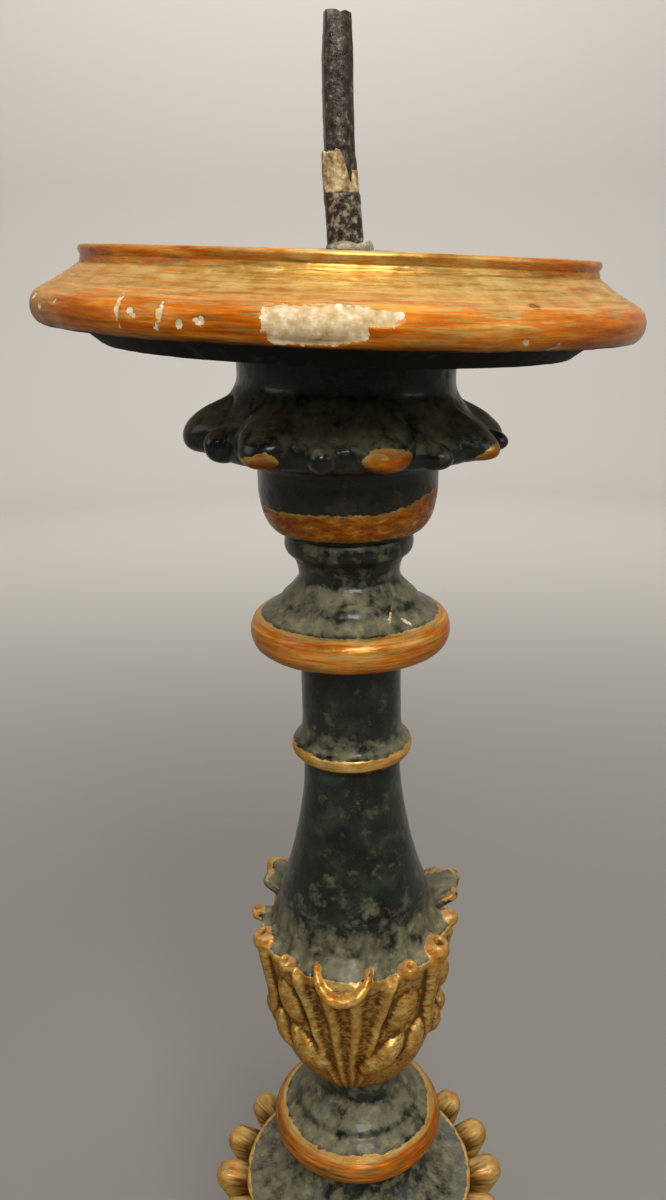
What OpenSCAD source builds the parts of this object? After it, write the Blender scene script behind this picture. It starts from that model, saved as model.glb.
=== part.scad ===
// Turned and carved wooden pricket candlestick, painted and parcel gilt.
// Millimetres, +Z up. The origin is on the axis, on the surface that the foot stands on.
// The front is towards -Y.

/* [Foot plinth] */
// Height of the plinth disc
plinth_h = 20; // [16:1:40]
// Radius of the plinth over its rounded edge
plinth_r = 98; // [92:1:130]
// Height of the rounded edge
plinth_edge_h = 14; // [8:1:15]
// How far the rounded edge swells
plinth_swell = 4; // [1:0.5:6]
// Radius of the plinth's top, inside its cove
plinth_top_r = 81; // [79:1:86]

/* [Foot bell] */
// Height of the bell of the foot
bell_h = 102; // [96:1:160]
// Radius of the bell over its bottom roll
bell_r = 77; // [68:1:79]
// Height of the bottom roll
bell_roll_h = 13; // [8:1:20]
// How far the bottom roll swells
bell_roll_swell = 5; // [2:0.5:7]
// Radius where the sweep starts, above the roll
bell_sweep_r = 64; // [50:1:68]
// Radius of the neck at the top of the sweep
bell_neck_r = 26; // [22:0.5:29]
// Height of the bead under the neck's top
bell_bead_h = 9; // [4:1:12]
// How far that bead stands out from the neck
bell_bead_swell = 4.5; // [1:0.5:6]
// Height of the neck above the bead
bell_lip_h = 5; // [2:1:8]

/* [Lower collar] */
// Height of the turned collar on the foot
collar_h = 38; // [34:1:60]
// Radius of the collar's rim
collar_rim_r = 40; // [32:1:55]
// Thickness of the collar's rim
collar_rim_h = 12; // [6:1:16]
// Height of the middle of the rim above the collar's seat
collar_rim_z = 14; // [11:1:20]
// Radius of the collar's upper neck
collar_neck_r = 23; // [18:0.5:25]

/* [Fluted cup] */
// Height of the fluted cup
cup_h = 99; // [90:1:130]
// Radius of the cup at its bottom
cup_foot_r = 25; // [22:0.5:28]
// Radius of the cup behind its fingers, at the rim
cup_rim_r = 51; // [46:0.5:56]
// Height of the rim above the cup's seat
cup_rim_z = 76; // [66:1:84]
// Radius of the painted shoulder at the foot of its sweep
cup_shoulder_r = 47; // [40:0.5:49]
// Radius of the neck that the shoulder rises to
cup_neck_r = 22; // [19:0.5:25]
// Number of carved fingers round the cup
finger_count = 18; // [12:1:20]
// Radius of a finger at its rounded tip
finger_tip_r = 6.6; // [4.5:0.1:7.5]
// Radius of a finger at its lower end
finger_root_r = 3.6; // [2.5:0.1:4.2]
// Radius of the ring that the tips stand on
finger_ring_r = 58; // [54:0.5:60]
// Height of the tips above the rim
finger_rise = 2; // [0:0.5:8]
// Height of the fingers' lower ends above the cup's seat
finger_root_z = 20; // [14:1:30]

/* [Lower knop] */
// Height of the lower knop
lower_knop_h = 42; // [36:1:60]
// Radius of the knop's gilt rim
lower_rim_r = 36.5; // [28:0.5:44]
// Thickness of the rim
lower_rim_h = 11; // [6:0.5:14]
// Height of the middle of the rim above the knop's seat
lower_rim_z = 9.5; // [8:0.5:14]
// Radius of the knop's neck under the leaves
lower_neck_r = 17.5; // [16:0.5:18]
// Height at which the slope of the knop reaches the neck
lower_slope_z = 31; // [26:1:33]

/* [Leaf calyx] */
// Height of the calyx
calyx_h = 85; // [80:1:100]
// Radius of the calyx at its bottom
calyx_foot_r = 18; // [17.5:0.5:22]
// Radius of the bowl between the leaves
calyx_bowl_r = 34.5; // [32:0.5:36]
// Height at which the bowl is full
calyx_bowl_z = 42; // [36:1:48]
// Radius of the shoulder under the leaf tips
calyx_shoulder_r = 38.5; // [36:0.5:39]
// Height of that shoulder above the calyx's seat
calyx_shoulder_z = 66; // [60:1:68]
// Number of large leaves, with a small one between each two
leaf_count = 3; // [3:1:4]
// Turn of the first large leaf from the front
leaf_turn = -8; // [-45:1:45]
// How far a leaf stands out from the bowl
leaf_relief = 2.8; // [1:0.1:4]
// Width of a large leaf across its upper lobes
leaf_w = 56; // [48:1:58]
// Width of a leaf across its lower lobes
leaf_low_w = 41; // [34:1:42]
// Width of a leaf under its curled tip
leaf_neck_w = 30; // [24:1:34]
// Width of a leaf's stalk
stalk_w = 13; // [10:0.5:20]
// Height at which the stalk starts above the calyx's seat
stalk_z = 3.3; // [2:0.1:6]
// Width of a leaf's upper lobes
upper_lobe_w = 10; // [8:0.5:12]
// Length of the upper lobes
upper_lobe_l = 19; // [14:0.5:20]
// Height of the middle of the upper lobes above the calyx's seat
upper_lobe_z = 48; // [44:0.5:54]
// Width of a leaf's lower lobes
lower_lobe_w = 10; // [8:0.5:12]
// Length of the lower lobes
lower_lobe_l = 22; // [16:0.5:24]
// Height of the middle of the lower lobes above the calyx's seat
lower_lobe_z = 27; // [24:0.5:32]
// Lean of the upper lobes in degrees
upper_lobe_lean = 24; // [15:1:40]
// Lean of the lower lobes in degrees
lower_lobe_lean = 46; // [25:1:52]
// Reach of the large leaf tips from the axis
leaf_tip_r = 43; // [41:0.5:46]
// Width of a curled leaf tip
leaf_tip_w = 24; // [16:0.5:26]
// Height of the middle of the curled tips above the shoulder
leaf_tip_rise = -1; // [-3:0.5:1]
// Droop of the curled tips, in degrees
leaf_tip_droop = 25; // [10:1:35]
// Size of the hollow in a curled tip, as a share of the tip
leaf_tip_hollow = 0.72; // [0.5:0.02:0.85]
// Turn of a leaf's two small side tips from its middle, in degrees
side_tip_turn = 38; // [34:1:42]
// Half the width of a side tip
side_tip_r = 3.8; // [3:0.1:4.5]
// Reach of the side tips from the axis
side_tip_reach = 42.5; // [40:0.5:45]
// Half the length of a side tip
side_tip_l = 8; // [7:0.5:10]
// Height of the middle of the side tips above the shoulder
side_tip_rise = 1; // [-1:0.5:3]
// Lift of the side tips, in degrees
side_tip_lift = 15; // [5:1:30]
// Half the width of the tip of a small leaf, between two large ones
corner_tip_r = 5; // [4:0.1:6]
// Reach of the small leaves' tips from the axis
corner_tip_reach = 44; // [41:0.5:46]
// Half the width of a small leaf's blade
corner_leaf_r = 5; // [3.5:0.1:6]
// Half the height of that blade
corner_leaf_half_h = 18; // [14:0.5:22]
// Height of the middle of the blade above the calyx's seat
corner_leaf_z = 44; // [38:0.5:48]

/* [Vase stem] */
// Height of the vase and its neck
vase_h = 100; // [92:1:150]
// Radius of the vase where it meets the leaves
vase_foot_r = 29.5; // [27:0.5:31]
// Radius of the vase at the top of its sweep
vase_top_r = 18.5; // [16:0.5:20]
// Height of the vase's sweep
vase_sweep_h = 58; // [46:1:64]
// Radius of the gilt ring over its bead
ring_r = 23; // [21:0.5:28]
// Height of the bead on the ring
ring_bead_h = 5.5; // [3:0.5:8]
// Height of the cove above the bead
ring_cove_h = 10; // [5:0.5:14]
// Radius of the neck above the ring
stem_neck_r = 18.8; // [16:0.1:20]

/* [Upper knop] */
// Height of the upper knop
upper_knop_h = 48; // [44:1:70]
// Radius of the knop's gilt rim
upper_rim_r = 37; // [28:0.5:46]
// Thickness of the rim
upper_rim_h = 13; // [6:0.5:14]
// Height of the middle of the rim above the knop's seat
upper_rim_z = 11; // [9:0.5:14]
// Radius of the narrow spool above the rim
spool_r = 18.3; // [16:0.1:21]
// Height at which the slope of the knop reaches the spool
spool_z = 31; // [24:1:36]
// Radius of the band at the top of the knop
band_r = 23.5; // [22:0.5:26]
// Height of that band
band_h = 8; // [4:0.5:10]

/* [Capital] */
// Height of the capital
capital_h = 64; // [60:1:90]
// Radius of the cup at the capital's bottom
capital_foot_r = 24; // [21:0.5:26]
// Radius of the cup under the lobes
capital_cup_r = 32; // [28:0.5:34]
// Height of the cup
capital_cup_h = 18; // [12:1:22]
// Radius of the flared edge between the lobes
flare_r = 50.5; // [44:0.5:52]
// Thickness of the flared edge
flare_h = 10; // [6:0.5:12]
// Height of the middle of the flared edge above the seat
flare_z = 34; // [30:0.5:38]
// Radius of the neck under the pan
capital_neck_r = 37.5; // [33:0.5:40]
// Height at which the flare reaches the neck
capital_neck_z = 51; // [48:1:58]
// Number of carved lobes, with a small bead between each two
lobe_count = 8; // [6:1:9]
// Turn of the first lobe from the front
lobe_turn = 12; // [-22:1:22]
// Reach of the lobes from the axis
lobe_reach = 57; // [54:0.5:60]
// Width of a lobe
lobe_w = 21; // [14:0.5:22]
// Thickness of a lobe
lobe_h = 14; // [10:0.5:15]
// Length of a lobe, from the neck to its nose
lobe_l = 30; // [24:1:33]
// Droop of the lobes, in degrees
lobe_droop = 22; // [15:1:30]
// Height of the middle of a lobe above the seat
lobe_z = 38.5; // [37:0.5:41]
// Radius of the small beads
bead_r = 4.6; // [3:0.1:5]

/* [Drip pan] */
// Thickness of the pan
pan_t = 29.5; // [27:0.5:40]
// Radius of the pan over its rim
pan_r = 100; // [94:1:130]
// Radius of the raised lip round the pan's top
pan_lip_r = 84; // [70:0.5:87]
// Height of the lip
pan_lip_h = 5; // [3:0.5:7]
// Height of the sloping cove under the lip
pan_cove_h = 8; // [4:0.5:9]
// Thickness of the rounded rim
pan_rim_h = 10.5; // [8:0.5:12]
// How far the rim swells
pan_rim_swell = 3; // [1:0.5:4]
// Radius of the black step under the rim
pan_step_r = 86; // [80:0.5:92]
// Radius of the pan's underside, inside the sloping step
pan_under_r = 78; // [50:0.5:79]
// Tilt of the pan out of true, down towards +X, in degrees
pan_tilt = 3; // [0:0.1:4]
// How far the pan's rim sits off the stem's axis, towards +X
pan_shift = -3; // [-4:0.5:4]

/* [Spike] */
// Height of the spike above the plate at its foot
spike_h = 69; // [66:1:120]
// Radius of the straight stretch that holds the candle
spike_r = 4.9; // [4.2:0.1:4.9]
// Radius of the spike at its cut top
spike_top_r = 4.2; // [3:0.1:4.2]
// Height of the taper under the cut top
spike_taper_h = 12; // [4:1:20]
// Radius of the spike under the paper wrap
spike_grip_r = 5.3; // [5.2:0.1:6]
// Radius of the thick foot of the spike
spike_foot_r = 6; // [5.6:0.1:7]
// Height of the thick foot
spike_foot_h = 17; // [10:0.5:20]
// Radius of the tang that is driven into the wood
tang_r = 3.5; // [2.5:0.1:3.8]
// Length of the tang below the spike's foot
tang_l = 46; // [38:1:52]
// Radius of the iron plate on the pan
plate_r = 17; // [12:0.5:24]
// Thickness of the plate
plate_t = 1.2; // [0.8:0.1:2]

/* [Wrap and wax] */
// Height of the paper wrap on the spike
wrap_h = 10; // [8:0.5:12]
// Thickness of the wrap
wrap_t = 0.4; // [0.3:0.1:0.8]
// Width of the tear in the wrap's top edge
tear_w = 3.4; // [1:0.1:5]
// Depth of that tear
tear_h = 6; // [3:0.5:7]
// Turn of the tear from the front
tear_turn = 25; // [-180:1:180]
// Reach of the wax crust from the axis
wax_r = 8.6; // [7.5:0.1:11]
// Height of the wax crust
wax_h = 2.4; // [1.5:0.1:3.5]
// Radius of the lump of wax beside the spike
wax_lump_r = 2.5; // [1.6:0.1:3.5]
// Clearance between the wax and the spike's foot
wax_gap = 0.3; // [0.1:0.1:0.5]

/* [Joinery] */
// Radius of the turned tenons along the stem
tenon_r = 9; // [7:0.5:11]
// Length of those tenons
tenon_l = 16; // [10:0.5:18]
// Radius of the capital's tenon in the pan
pan_tenon_r = 15; // [11:0.5:20]
// Length of the capital's tenon in the pan
pan_tenon_l = 17; // [12:0.5:20]
// Radius of the bell's spigot in the plinth
spigot_r = 32; // [20:1:45]
// Length of that spigot
spigot_l = 10; // [6:0.5:12]
// Clearance round every tenon, round the tang and under the wrap
glue_gap = 0.1; // [0.05:0.05:0.2]
// Clearance at the end of every tenon
end_gap = 0.6; // [0.3:0.1:1]

/* [Hidden] */
$fn = 96;
curve_steps = 9;
cut_r = 200;
eps = 0.01;
finger_flare = 0.8;
vase_flare = 1.85;
capital_flare = 0.75;
disc_slope = 0.75;
pan_slope = 0.85;

bell_z = plinth_h;
collar_z = bell_z + bell_h;
cup_z = collar_z + collar_h;
lower_knop_z = cup_z + cup_h;
calyx_z = lower_knop_z + lower_knop_h;
vase_z = calyx_z + calyx_h;
upper_knop_z = vase_z + vase_h;
capital_z = upper_knop_z + upper_knop_h;
pan_z = capital_z + capital_h;
plate_top = pan_t + plate_t;
spike_z = pan_z + plate_top / cos(pan_tilt) + spike_foot_r * tan(pan_tilt);
wrap_r = spike_grip_r + glue_gap;
wrap_z = spike_z + spike_foot_h;
leaf_tip_half = [leaf_tip_w / 2, leaf_tip_r / 4, leaf_tip_w / 5];

// A point part of the way from p to q, with its own share for each axis
function between(p, q, share_r, share_z) =
    [p[0] + (q[0] - p[0]) * share_r, p[1] + (q[1] - p[1]) * share_z];

// Quarter ellipse that leaves p level and reaches q upright, without p itself
function level_to_upright(p, q) = [for (i = [1 : curve_steps])
    let (a = 90 * i / curve_steps) between(p, q, sin(a), 1 - cos(a))];

// Quarter ellipse that leaves p upright and reaches q level, without p itself
function upright_to_level(p, q) = [for (i = [1 : curve_steps])
    let (a = 90 * i / curve_steps) between(p, q, 1 - cos(a), sin(a))];

// Half ellipse from p to q that swells outwards between them, without p itself
function roll(p, q, swell) = [for (i = [1 : 2 * curve_steps])
    let (a = 90 * i / curve_steps, share = (1 - cos(a)) / 2)
    between(p, q, share, share) + [swell * sin(a), 0]];

// Curve from p to q whose radius follows a power of its height, without p itself
function flare(p, q, power) = [for (i = [1 : 2 * curve_steps])
    let (t = i / (2 * curve_steps)) between(p, q, pow(t, power), t)];

// Disc with a rounded rim between two necks, given as radius and height
function disc(low, high, rim_r, rim_h, rim_z) =
    let (swell = rim_h / 3, under = [rim_r - swell, rim_z - rim_h / 2],
        over = [rim_r - swell, rim_z + rim_h / 2])
    concat([low], upright_to_level(low, under), roll(under, over, swell),
        flare(over, high, disc_slope));

// Solid of revolution from an outer line, which runs from the bottom up
module turned(line) {
    rotate_extrude()
        polygon(concat([[0, line[0][1]]], line, [[0, line[len(line) - 1][1]]]));
}

// Round tenon that hangs below z = 0
module tenon(r, l) {
    translate([0, 0, -l])
        cylinder(r = r, h = l + eps);
}

// Blind bore for such a tenon, sunk below height z
module socket(z, r, l) {
    translate([0, 0, z - l - end_gap])
        cylinder(r = r + glue_gap, h = l + end_gap + 1);
}

// Copies of the children round the axis, the first turned from the front
module ring_of(count, turn) {
    for (i = [0 : count - 1])
        rotate([0, 0, turn + 360 * i / count])
            children();
}

// Ellipsoid with its own half size along each axis
module egg(half) {
    scale(half)
        sphere(r = 1);
}

// Place of everything that follows the tilted pan, measured from its seat
module on_pan() {
    translate([0, 0, pan_z])
        rotate([0, pan_tilt, 0])
            children();
}

// The pan's tilt, turned about the axis at height z
module tilted_about(z) {
    translate([0, 0, z])
        rotate([0, pan_tilt, 0])
            translate([0, 0, -z])
                children();
}

// Upright bore for the spike's tang
module tang_bore() {
    translate([0, 0, spike_z - tang_l - end_gap])
        cylinder(r = tang_r + glue_gap, h = tang_l + 2 * plate_top);
}

module base_plinth() {
    edge_r = plinth_r - plinth_swell;
    color("darkgoldenrod")
        difference() {
            turned(concat([[edge_r, 0]], roll([edge_r, 0], [edge_r, plinth_edge_h], plinth_swell),
                level_to_upright([edge_r, plinth_edge_h], [plinth_top_r, plinth_h])));
            socket(plinth_h, spigot_r, spigot_l);
        }
}

module base_bell() {
    roll_r = bell_r - bell_roll_swell;
    bead_z = bell_h - bell_lip_h - bell_bead_h;
    color("darkslategray")
        translate([0, 0, bell_z])
            difference() {
                union() {
                    turned(concat([[roll_r, 0]], roll([roll_r, 0], [roll_r, bell_roll_h], bell_roll_swell),
                        level_to_upright([bell_sweep_r, bell_roll_h], [bell_neck_r, bead_z]),
                        roll([bell_neck_r, bead_z], [bell_neck_r, bead_z + bell_bead_h], bell_bead_swell),
                        [[bell_neck_r, bell_h]]));
                    tenon(spigot_r, spigot_l);
                }
                socket(bell_h, tenon_r, tenon_l);
            }
}

module base_collar() {
    color("goldenrod")
        translate([0, 0, collar_z])
            difference() {
                union() {
                    turned(disc([bell_neck_r, 0], [collar_neck_r, collar_h], collar_rim_r,
                        collar_rim_h, collar_rim_z));
                    tenon(tenon_r, tenon_l);
                }
                socket(collar_h, tenon_r, tenon_l);
            }
}

// One finger of the cup, a tapered rod with a round tip, leaning out along the cup's side
module finger() {
    root = [cup_foot_r + (cup_rim_r - cup_foot_r) * pow(finger_root_z / cup_rim_z, finger_flare),
        finger_root_z];
    tip = [finger_ring_r, cup_rim_z + finger_rise - finger_tip_r];
    length = norm(tip - root);
    translate([0, -root[0], root[1]])
        rotate([atan2(tip[0] - root[0], tip[1] - root[1]), 0, 0])
            rotate_extrude()
                polygon(concat([[0, -finger_root_r]],
                    level_to_upright([0, -finger_root_r], [finger_root_r, 0]),
                    [[finger_tip_r, length]],
                    upright_to_level([finger_tip_r, length], [0, length + finger_tip_r])));
}

module fluted_cup() {
    foot = [cup_foot_r, 0];
    color("goldenrod")
        translate([0, 0, cup_z])
            difference() {
                union() {
                    turned(concat([foot], flare(foot, [cup_rim_r, cup_rim_z], finger_flare),
                        [[cup_shoulder_r, cup_rim_z]],
                        level_to_upright([cup_shoulder_r, cup_rim_z], [cup_neck_r, cup_h])));
                    ring_of(finger_count, 180 / finger_count)
                        finger();
                    tenon(tenon_r, tenon_l);
                }
                socket(cup_h, tenon_r, tenon_l);
            }
}

module lower_knop() {
    color("darkslategray")
        translate([0, 0, lower_knop_z])
            difference() {
                union() {
                    turned(concat(disc([cup_neck_r, 0], [lower_neck_r, lower_slope_z], lower_rim_r,
                        lower_rim_h, lower_rim_z), [[lower_neck_r, lower_knop_h]]));
                    tenon(tenon_r, tenon_l);
                }
                socket(lower_knop_h, tenon_r, tenon_l);
            }
}

// Oval of width w and length l, leaning towards +X
module oval(w, l, lean) {
    rotate(-lean)
        scale([w, l] / 2)
            circle(r = 1);
}

// Outline of a large leaf, seen from outside: a blade that widens from its stalk, with two pairs of lobes
module leaf_outline() {
    top = stalk_z + calyx_shoulder_z;
    polygon([[-stalk_w / 2, stalk_z], [stalk_w / 2, stalk_z],
        [leaf_neck_w / 2, top], [-leaf_neck_w / 2, top]]);
    for (side = [-1, 1]) {
        translate([side * (leaf_w - upper_lobe_w) / 2, upper_lobe_z])
            oval(upper_lobe_w, upper_lobe_l, side * upper_lobe_lean);
        translate([side * (leaf_low_w - lower_lobe_w) / 2, lower_lobe_z])
            oval(lower_lobe_w, lower_lobe_l, side * lower_lobe_lean);
    }
}

// A large leaf: a raised blade up the bowl and a spoon-shaped tip that curls out over it
module large_leaf() {
    blade_r = calyx_bowl_r + leaf_relief;
    foot = [calyx_foot_r + leaf_relief, 0];
    tip_y = leaf_tip_r - leaf_tip_half[1];
    intersection() {
        turned(concat([foot], level_to_upright(foot, [blade_r, calyx_bowl_z]),
            [[blade_r, calyx_shoulder_z]],
            upright_to_level([blade_r, calyx_shoulder_z], [calyx_shoulder_r - 2 * leaf_relief,
                calyx_shoulder_z + 2 * leaf_relief])));
        rotate([90, 0, 0])
            linear_extrude(height = 2 * leaf_tip_r)
                leaf_outline();
    }
    difference() {
        translate([0, -tip_y, calyx_shoulder_z + leaf_tip_rise])
            rotate([leaf_tip_droop, 0, 0])
                egg(leaf_tip_half);
        translate([0, -tip_y, calyx_shoulder_z + leaf_tip_rise + leaf_tip_half[2]])
            rotate([leaf_tip_droop, 0, 0])
                egg(leaf_tip_hollow * leaf_tip_half);
    }
}

// A small curled tip of half width r, which noses out and a little up as far as reach
module curled_tip(r, reach) {
    translate([0, side_tip_l * cos(side_tip_lift) - reach, calyx_shoulder_z + side_tip_rise])
        rotate([-side_tip_lift, 0, 0])
            egg([r, side_tip_l, r]);
}

// The small leaf between two large ones: a narrow blade up the bowl, and its curled tip
module small_leaf() {
    translate([0, leaf_relief / 2 - calyx_bowl_r, corner_leaf_z])
        egg([corner_leaf_r, 2 * leaf_relief, corner_leaf_half_h]);
    curled_tip(corner_tip_r, corner_tip_reach);
}

module leaf_calyx() {
    foot = [calyx_foot_r, 0];
    full = [calyx_bowl_r, calyx_bowl_z];
    shoulder = [calyx_shoulder_r, calyx_shoulder_z];
    color("peru")
        translate([0, 0, calyx_z])
            difference() {
                union() {
                    turned(concat([foot], level_to_upright(foot, full), [shoulder],
                        level_to_upright(shoulder, [vase_foot_r, calyx_h])));
                    ring_of(leaf_count, leaf_turn)
                        large_leaf();
                    for (side = [-1, 1])
                        ring_of(leaf_count, leaf_turn + side * side_tip_turn)
                            curled_tip(side_tip_r, side_tip_reach);
                    ring_of(leaf_count, leaf_turn + 180 / leaf_count)
                        small_leaf();
                    tenon(tenon_r, tenon_l);
                }
                socket(calyx_h, tenon_r, tenon_l);
            }
}

module vase_stem() {
    ring_edge_r = ring_r - ring_bead_h / 4;
    bead_low = [ring_edge_r, vase_sweep_h + ring_bead_h / 2];
    bead_high = [ring_edge_r, bead_low[1] + ring_bead_h];
    sweep = flare([vase_top_r, vase_sweep_h], [vase_foot_r, 0], vase_flare);
    last = len(sweep) - 1;
    color("darkslategray")
        translate([0, 0, vase_z])
            difference() {
                union() {
                    turned(concat([for (i = [0 : last]) sweep[last - i]], [[vase_top_r, vase_sweep_h]],
                        upright_to_level([vase_top_r, vase_sweep_h], bead_low),
                        roll(bead_low, bead_high, ring_r - ring_edge_r),
                        level_to_upright(bead_high, [stem_neck_r, bead_high[1] + ring_cove_h]),
                        [[stem_neck_r, vase_h]]));
                    tenon(tenon_r, tenon_l);
                }
                socket(vase_h, tenon_r, tenon_l);
            }
}

module upper_knop() {
    band_low = upper_knop_h - band_h;
    round = band_h / 6;
    color("darkslategray")
        translate([0, 0, upper_knop_z])
            difference() {
                union() {
                    turned(concat(disc([stem_neck_r, 0], [spool_r, spool_z], upper_rim_r,
                        upper_rim_h, upper_rim_z),
                        upright_to_level([spool_r, spool_z], [band_r - round, band_low]),
                        roll([band_r - round, band_low], [band_r - round, upper_knop_h], round)));
                    tenon(tenon_r, tenon_l);
                }
                socket(upper_knop_h, tenon_r, tenon_l);
            }
}

// A carved lobe of the capital, a blunt egg that noses out over the cup
module lobe() {
    half = [lobe_w / 2, lobe_l / 2, lobe_h / 2];
    half_reach = norm([half[1] * cos(lobe_droop), half[2] * sin(lobe_droop)]);
    translate([0, half_reach - lobe_reach, lobe_z])
        rotate([lobe_droop, 0, 0])
            egg(half);
}

module lobed_capital() {
    foot = [capital_foot_r, 0];
    cup = [capital_cup_r, capital_cup_h];
    swell = flare_h / 4;
    flare_root = [capital_cup_r - swell, flare_z - flare_h];
    flare_low = [flare_r - swell, flare_z - flare_h / 2];
    flare_high = [flare_r - swell, flare_z + flare_h / 2];
    color("darkslategray")
        difference() {
            union() {
                difference() {
                    translate([0, 0, capital_z]) {
                        turned(concat([foot], level_to_upright(foot, cup), [[capital_cup_r, flare_z]]));
                        tenon(tenon_r, tenon_l);
                        tilted_about(flare_z) {
                            turned(concat([flare_root], upright_to_level(flare_root, flare_low),
                                roll(flare_low, flare_high, swell),
                                flare(flare_high, [capital_neck_r, capital_neck_z], capital_flare),
                                [[capital_neck_r, capital_h + capital_neck_r]]));
                            ring_of(lobe_count, lobe_turn)
                                lobe();
                            ring_of(lobe_count, lobe_turn + 180 / lobe_count)
                                translate([0, -flare_r, flare_z])
                                    sphere(r = bead_r);
                        }
                    }
                    on_pan()
                        cylinder(r = cut_r, h = cut_r);
                }
                on_pan()
                    translate([0, 0, -pan_tenon_l])
                        cylinder(r = pan_tenon_r, h = 2 * pan_tenon_l);
            }
            tang_bore();
        }
}

module drip_pan() {
    rim_r = pan_r - pan_rim_swell;
    rim_top = pan_t - pan_lip_h - pan_cove_h;
    rim_low = rim_top - pan_rim_h;
    color("chocolate")
        difference() {
            on_pan()
                difference() {
                    translate([pan_shift, 0, 0])
                        turned(concat([[pan_under_r, 0], [pan_step_r, rim_low], [rim_r, rim_low]],
                            roll([rim_r, rim_low], [rim_r, rim_top], pan_rim_swell),
                            flare([rim_r, rim_top], [pan_lip_r, pan_t - pan_lip_h], pan_slope),
                            [[pan_lip_r, pan_t]]));
                    translate([0, 0, -1])
                        cylinder(r = pan_tenon_r + glue_gap, h = pan_tenon_l + end_gap + 1);
                }
            tang_bore();
        }
}

module spike_plate() {
    color("dimgray")
        difference() {
            on_pan()
                translate([0, 0, pan_t])
                    cylinder(r = plate_r, h = plate_t);
            tang_bore();
        }
}

module pricket_spike() {
    color("darkslategray")
        translate([0, 0, spike_z])
            turned([[tang_r, -tang_l], [tang_r, 0], [spike_foot_r, 0], [spike_foot_r, spike_foot_h],
                [spike_grip_r, spike_foot_h], [spike_grip_r, spike_foot_h + wrap_h],
                [spike_r, spike_foot_h + wrap_h], [spike_r, spike_h - spike_taper_h],
                [spike_top_r, spike_h]]);
}

module paper_wrap() {
    color("tan")
        translate([0, 0, wrap_z])
            difference() {
                cylinder(r = wrap_r + wrap_t, h = wrap_h);
                translate([0, 0, -1])
                    cylinder(r = wrap_r, h = wrap_h + 2);
                rotate([0, 0, tear_turn])
                    translate([0, 0, wrap_h])
                        rotate([90, 0, 0])
                            linear_extrude(height = 2 * wrap_r)
                                polygon([[-tear_w / 2, 1], [0, -tear_h], [tear_w / 2, 1]]);
            }
}

module wax_crust() {
    inner_r = spike_foot_r + wax_gap;
    color("wheat")
        difference() {
            on_pan()
                translate([0, 0, plate_top])
                    difference() {
                        union() {
                            turned(concat([[wax_r - wax_h / 2, 0]],
                                level_to_upright([wax_r - wax_h / 2, 0], [inner_r, wax_h])));
                            translate([inner_r + wax_h / 2, 0, 0])
                                sphere(r = wax_lump_r);
                        }
                        translate([0, 0, -cut_r])
                            cylinder(r = cut_r, h = cut_r);
                    }
            translate([0, 0, pan_z])
                cylinder(r = inner_r, h = 2 * plate_top);
        }
}

base_plinth();
base_bell();
base_collar();
fluted_cup();
lower_knop();
leaf_calyx();
vase_stem();
upper_knop();
lobed_capital();
drip_pan();
spike_plate();
pricket_spike();
paper_wrap();
wax_crust();
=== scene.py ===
"""Looks of a turned and carved wooden pricket candlestick, painted dark green and parcel gilt.

Sizes here are millimetres, and meshes go into Blender in metres. +Z is up and the front is towards -Y.
A turn is an angle round the stem, 0 at the front and growing towards +X. Angles in the fields of a class
are degrees, and the turns of a skin's columns are radians. Every wooden piece is a skin: rings of points
round the stem, pushed out along rays where it is carved, with marks on its points that say where leaf,
bole, paint, gesso, dust, dirt and painted shade lie, and where painted highlights raise the leaf.
"""

import logging
import math
from collections.abc import Callable, Iterable
from dataclasses import dataclass, field
from enum import Enum

import bpy
import numpy as np
from mathutils import Euler, Matrix, Vector


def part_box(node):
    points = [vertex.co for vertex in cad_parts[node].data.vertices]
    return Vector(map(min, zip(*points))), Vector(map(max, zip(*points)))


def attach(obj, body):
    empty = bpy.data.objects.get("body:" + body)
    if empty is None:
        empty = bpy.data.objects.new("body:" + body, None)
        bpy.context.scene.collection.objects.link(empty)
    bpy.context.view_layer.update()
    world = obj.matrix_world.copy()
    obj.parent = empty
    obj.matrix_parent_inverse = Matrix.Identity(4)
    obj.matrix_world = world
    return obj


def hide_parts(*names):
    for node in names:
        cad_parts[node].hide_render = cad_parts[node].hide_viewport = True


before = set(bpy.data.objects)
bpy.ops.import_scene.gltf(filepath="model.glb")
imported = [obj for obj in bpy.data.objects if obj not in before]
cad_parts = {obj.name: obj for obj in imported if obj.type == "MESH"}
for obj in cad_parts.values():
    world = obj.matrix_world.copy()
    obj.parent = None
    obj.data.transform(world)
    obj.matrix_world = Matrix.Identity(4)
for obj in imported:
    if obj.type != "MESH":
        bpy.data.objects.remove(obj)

Array = np.ndarray
Point = tuple[float, float]
Socket = bpy.types.NodeSocket
MM = 0.001
log = logging.getLogger("candlestick")

# Steps of a quarter curve, of the walk in along a carving ray, and of that walk below the skin
CURVE_STEPS = 24
CARVE_STEPS = 40
CARVE_PAST = 4
# Depth of a point that no carved form reaches
UNCARVED = -10.0
# Share of the spacing at which one more row lies beside each end of a skin
END_ROW = 0.04
# Length along the outline that a hidden row counts for
HIDDEN_STEP = 5.0
# How far a hidden seat, and the outermost row of a flat face, stay inside the edge that shows
SEAT_INSET = 0.15
FACE_INSET = 0.2
# Power of the height that the slope of a turned disc follows
DISC_SLOPE = 0.75
# Spacing of the waves in a hand-drawn edge
HAND_CELL = 14.0
# Signed distances for paint without gilding, and for a piece without chips
UNGILT = -9.0
UNCHIPPED = -20.0
# Smallest divisor
TINY = 1e-9
# Factors that scatter a lattice corner, a seed and their product, and the bits that are kept
HASH_AXES = (73856093, 19349663, 83492791)
HASH_SEED = 2654435761
HASH_PRODUCT = 1274126177
HASH_BITS = 0x7FFFFFFF
HASH_VALUE = 0xFFFF
# Divisor that brings a sum of grain fields back to about -1 to 1
FRACTAL_SUM = 1.5


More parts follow.
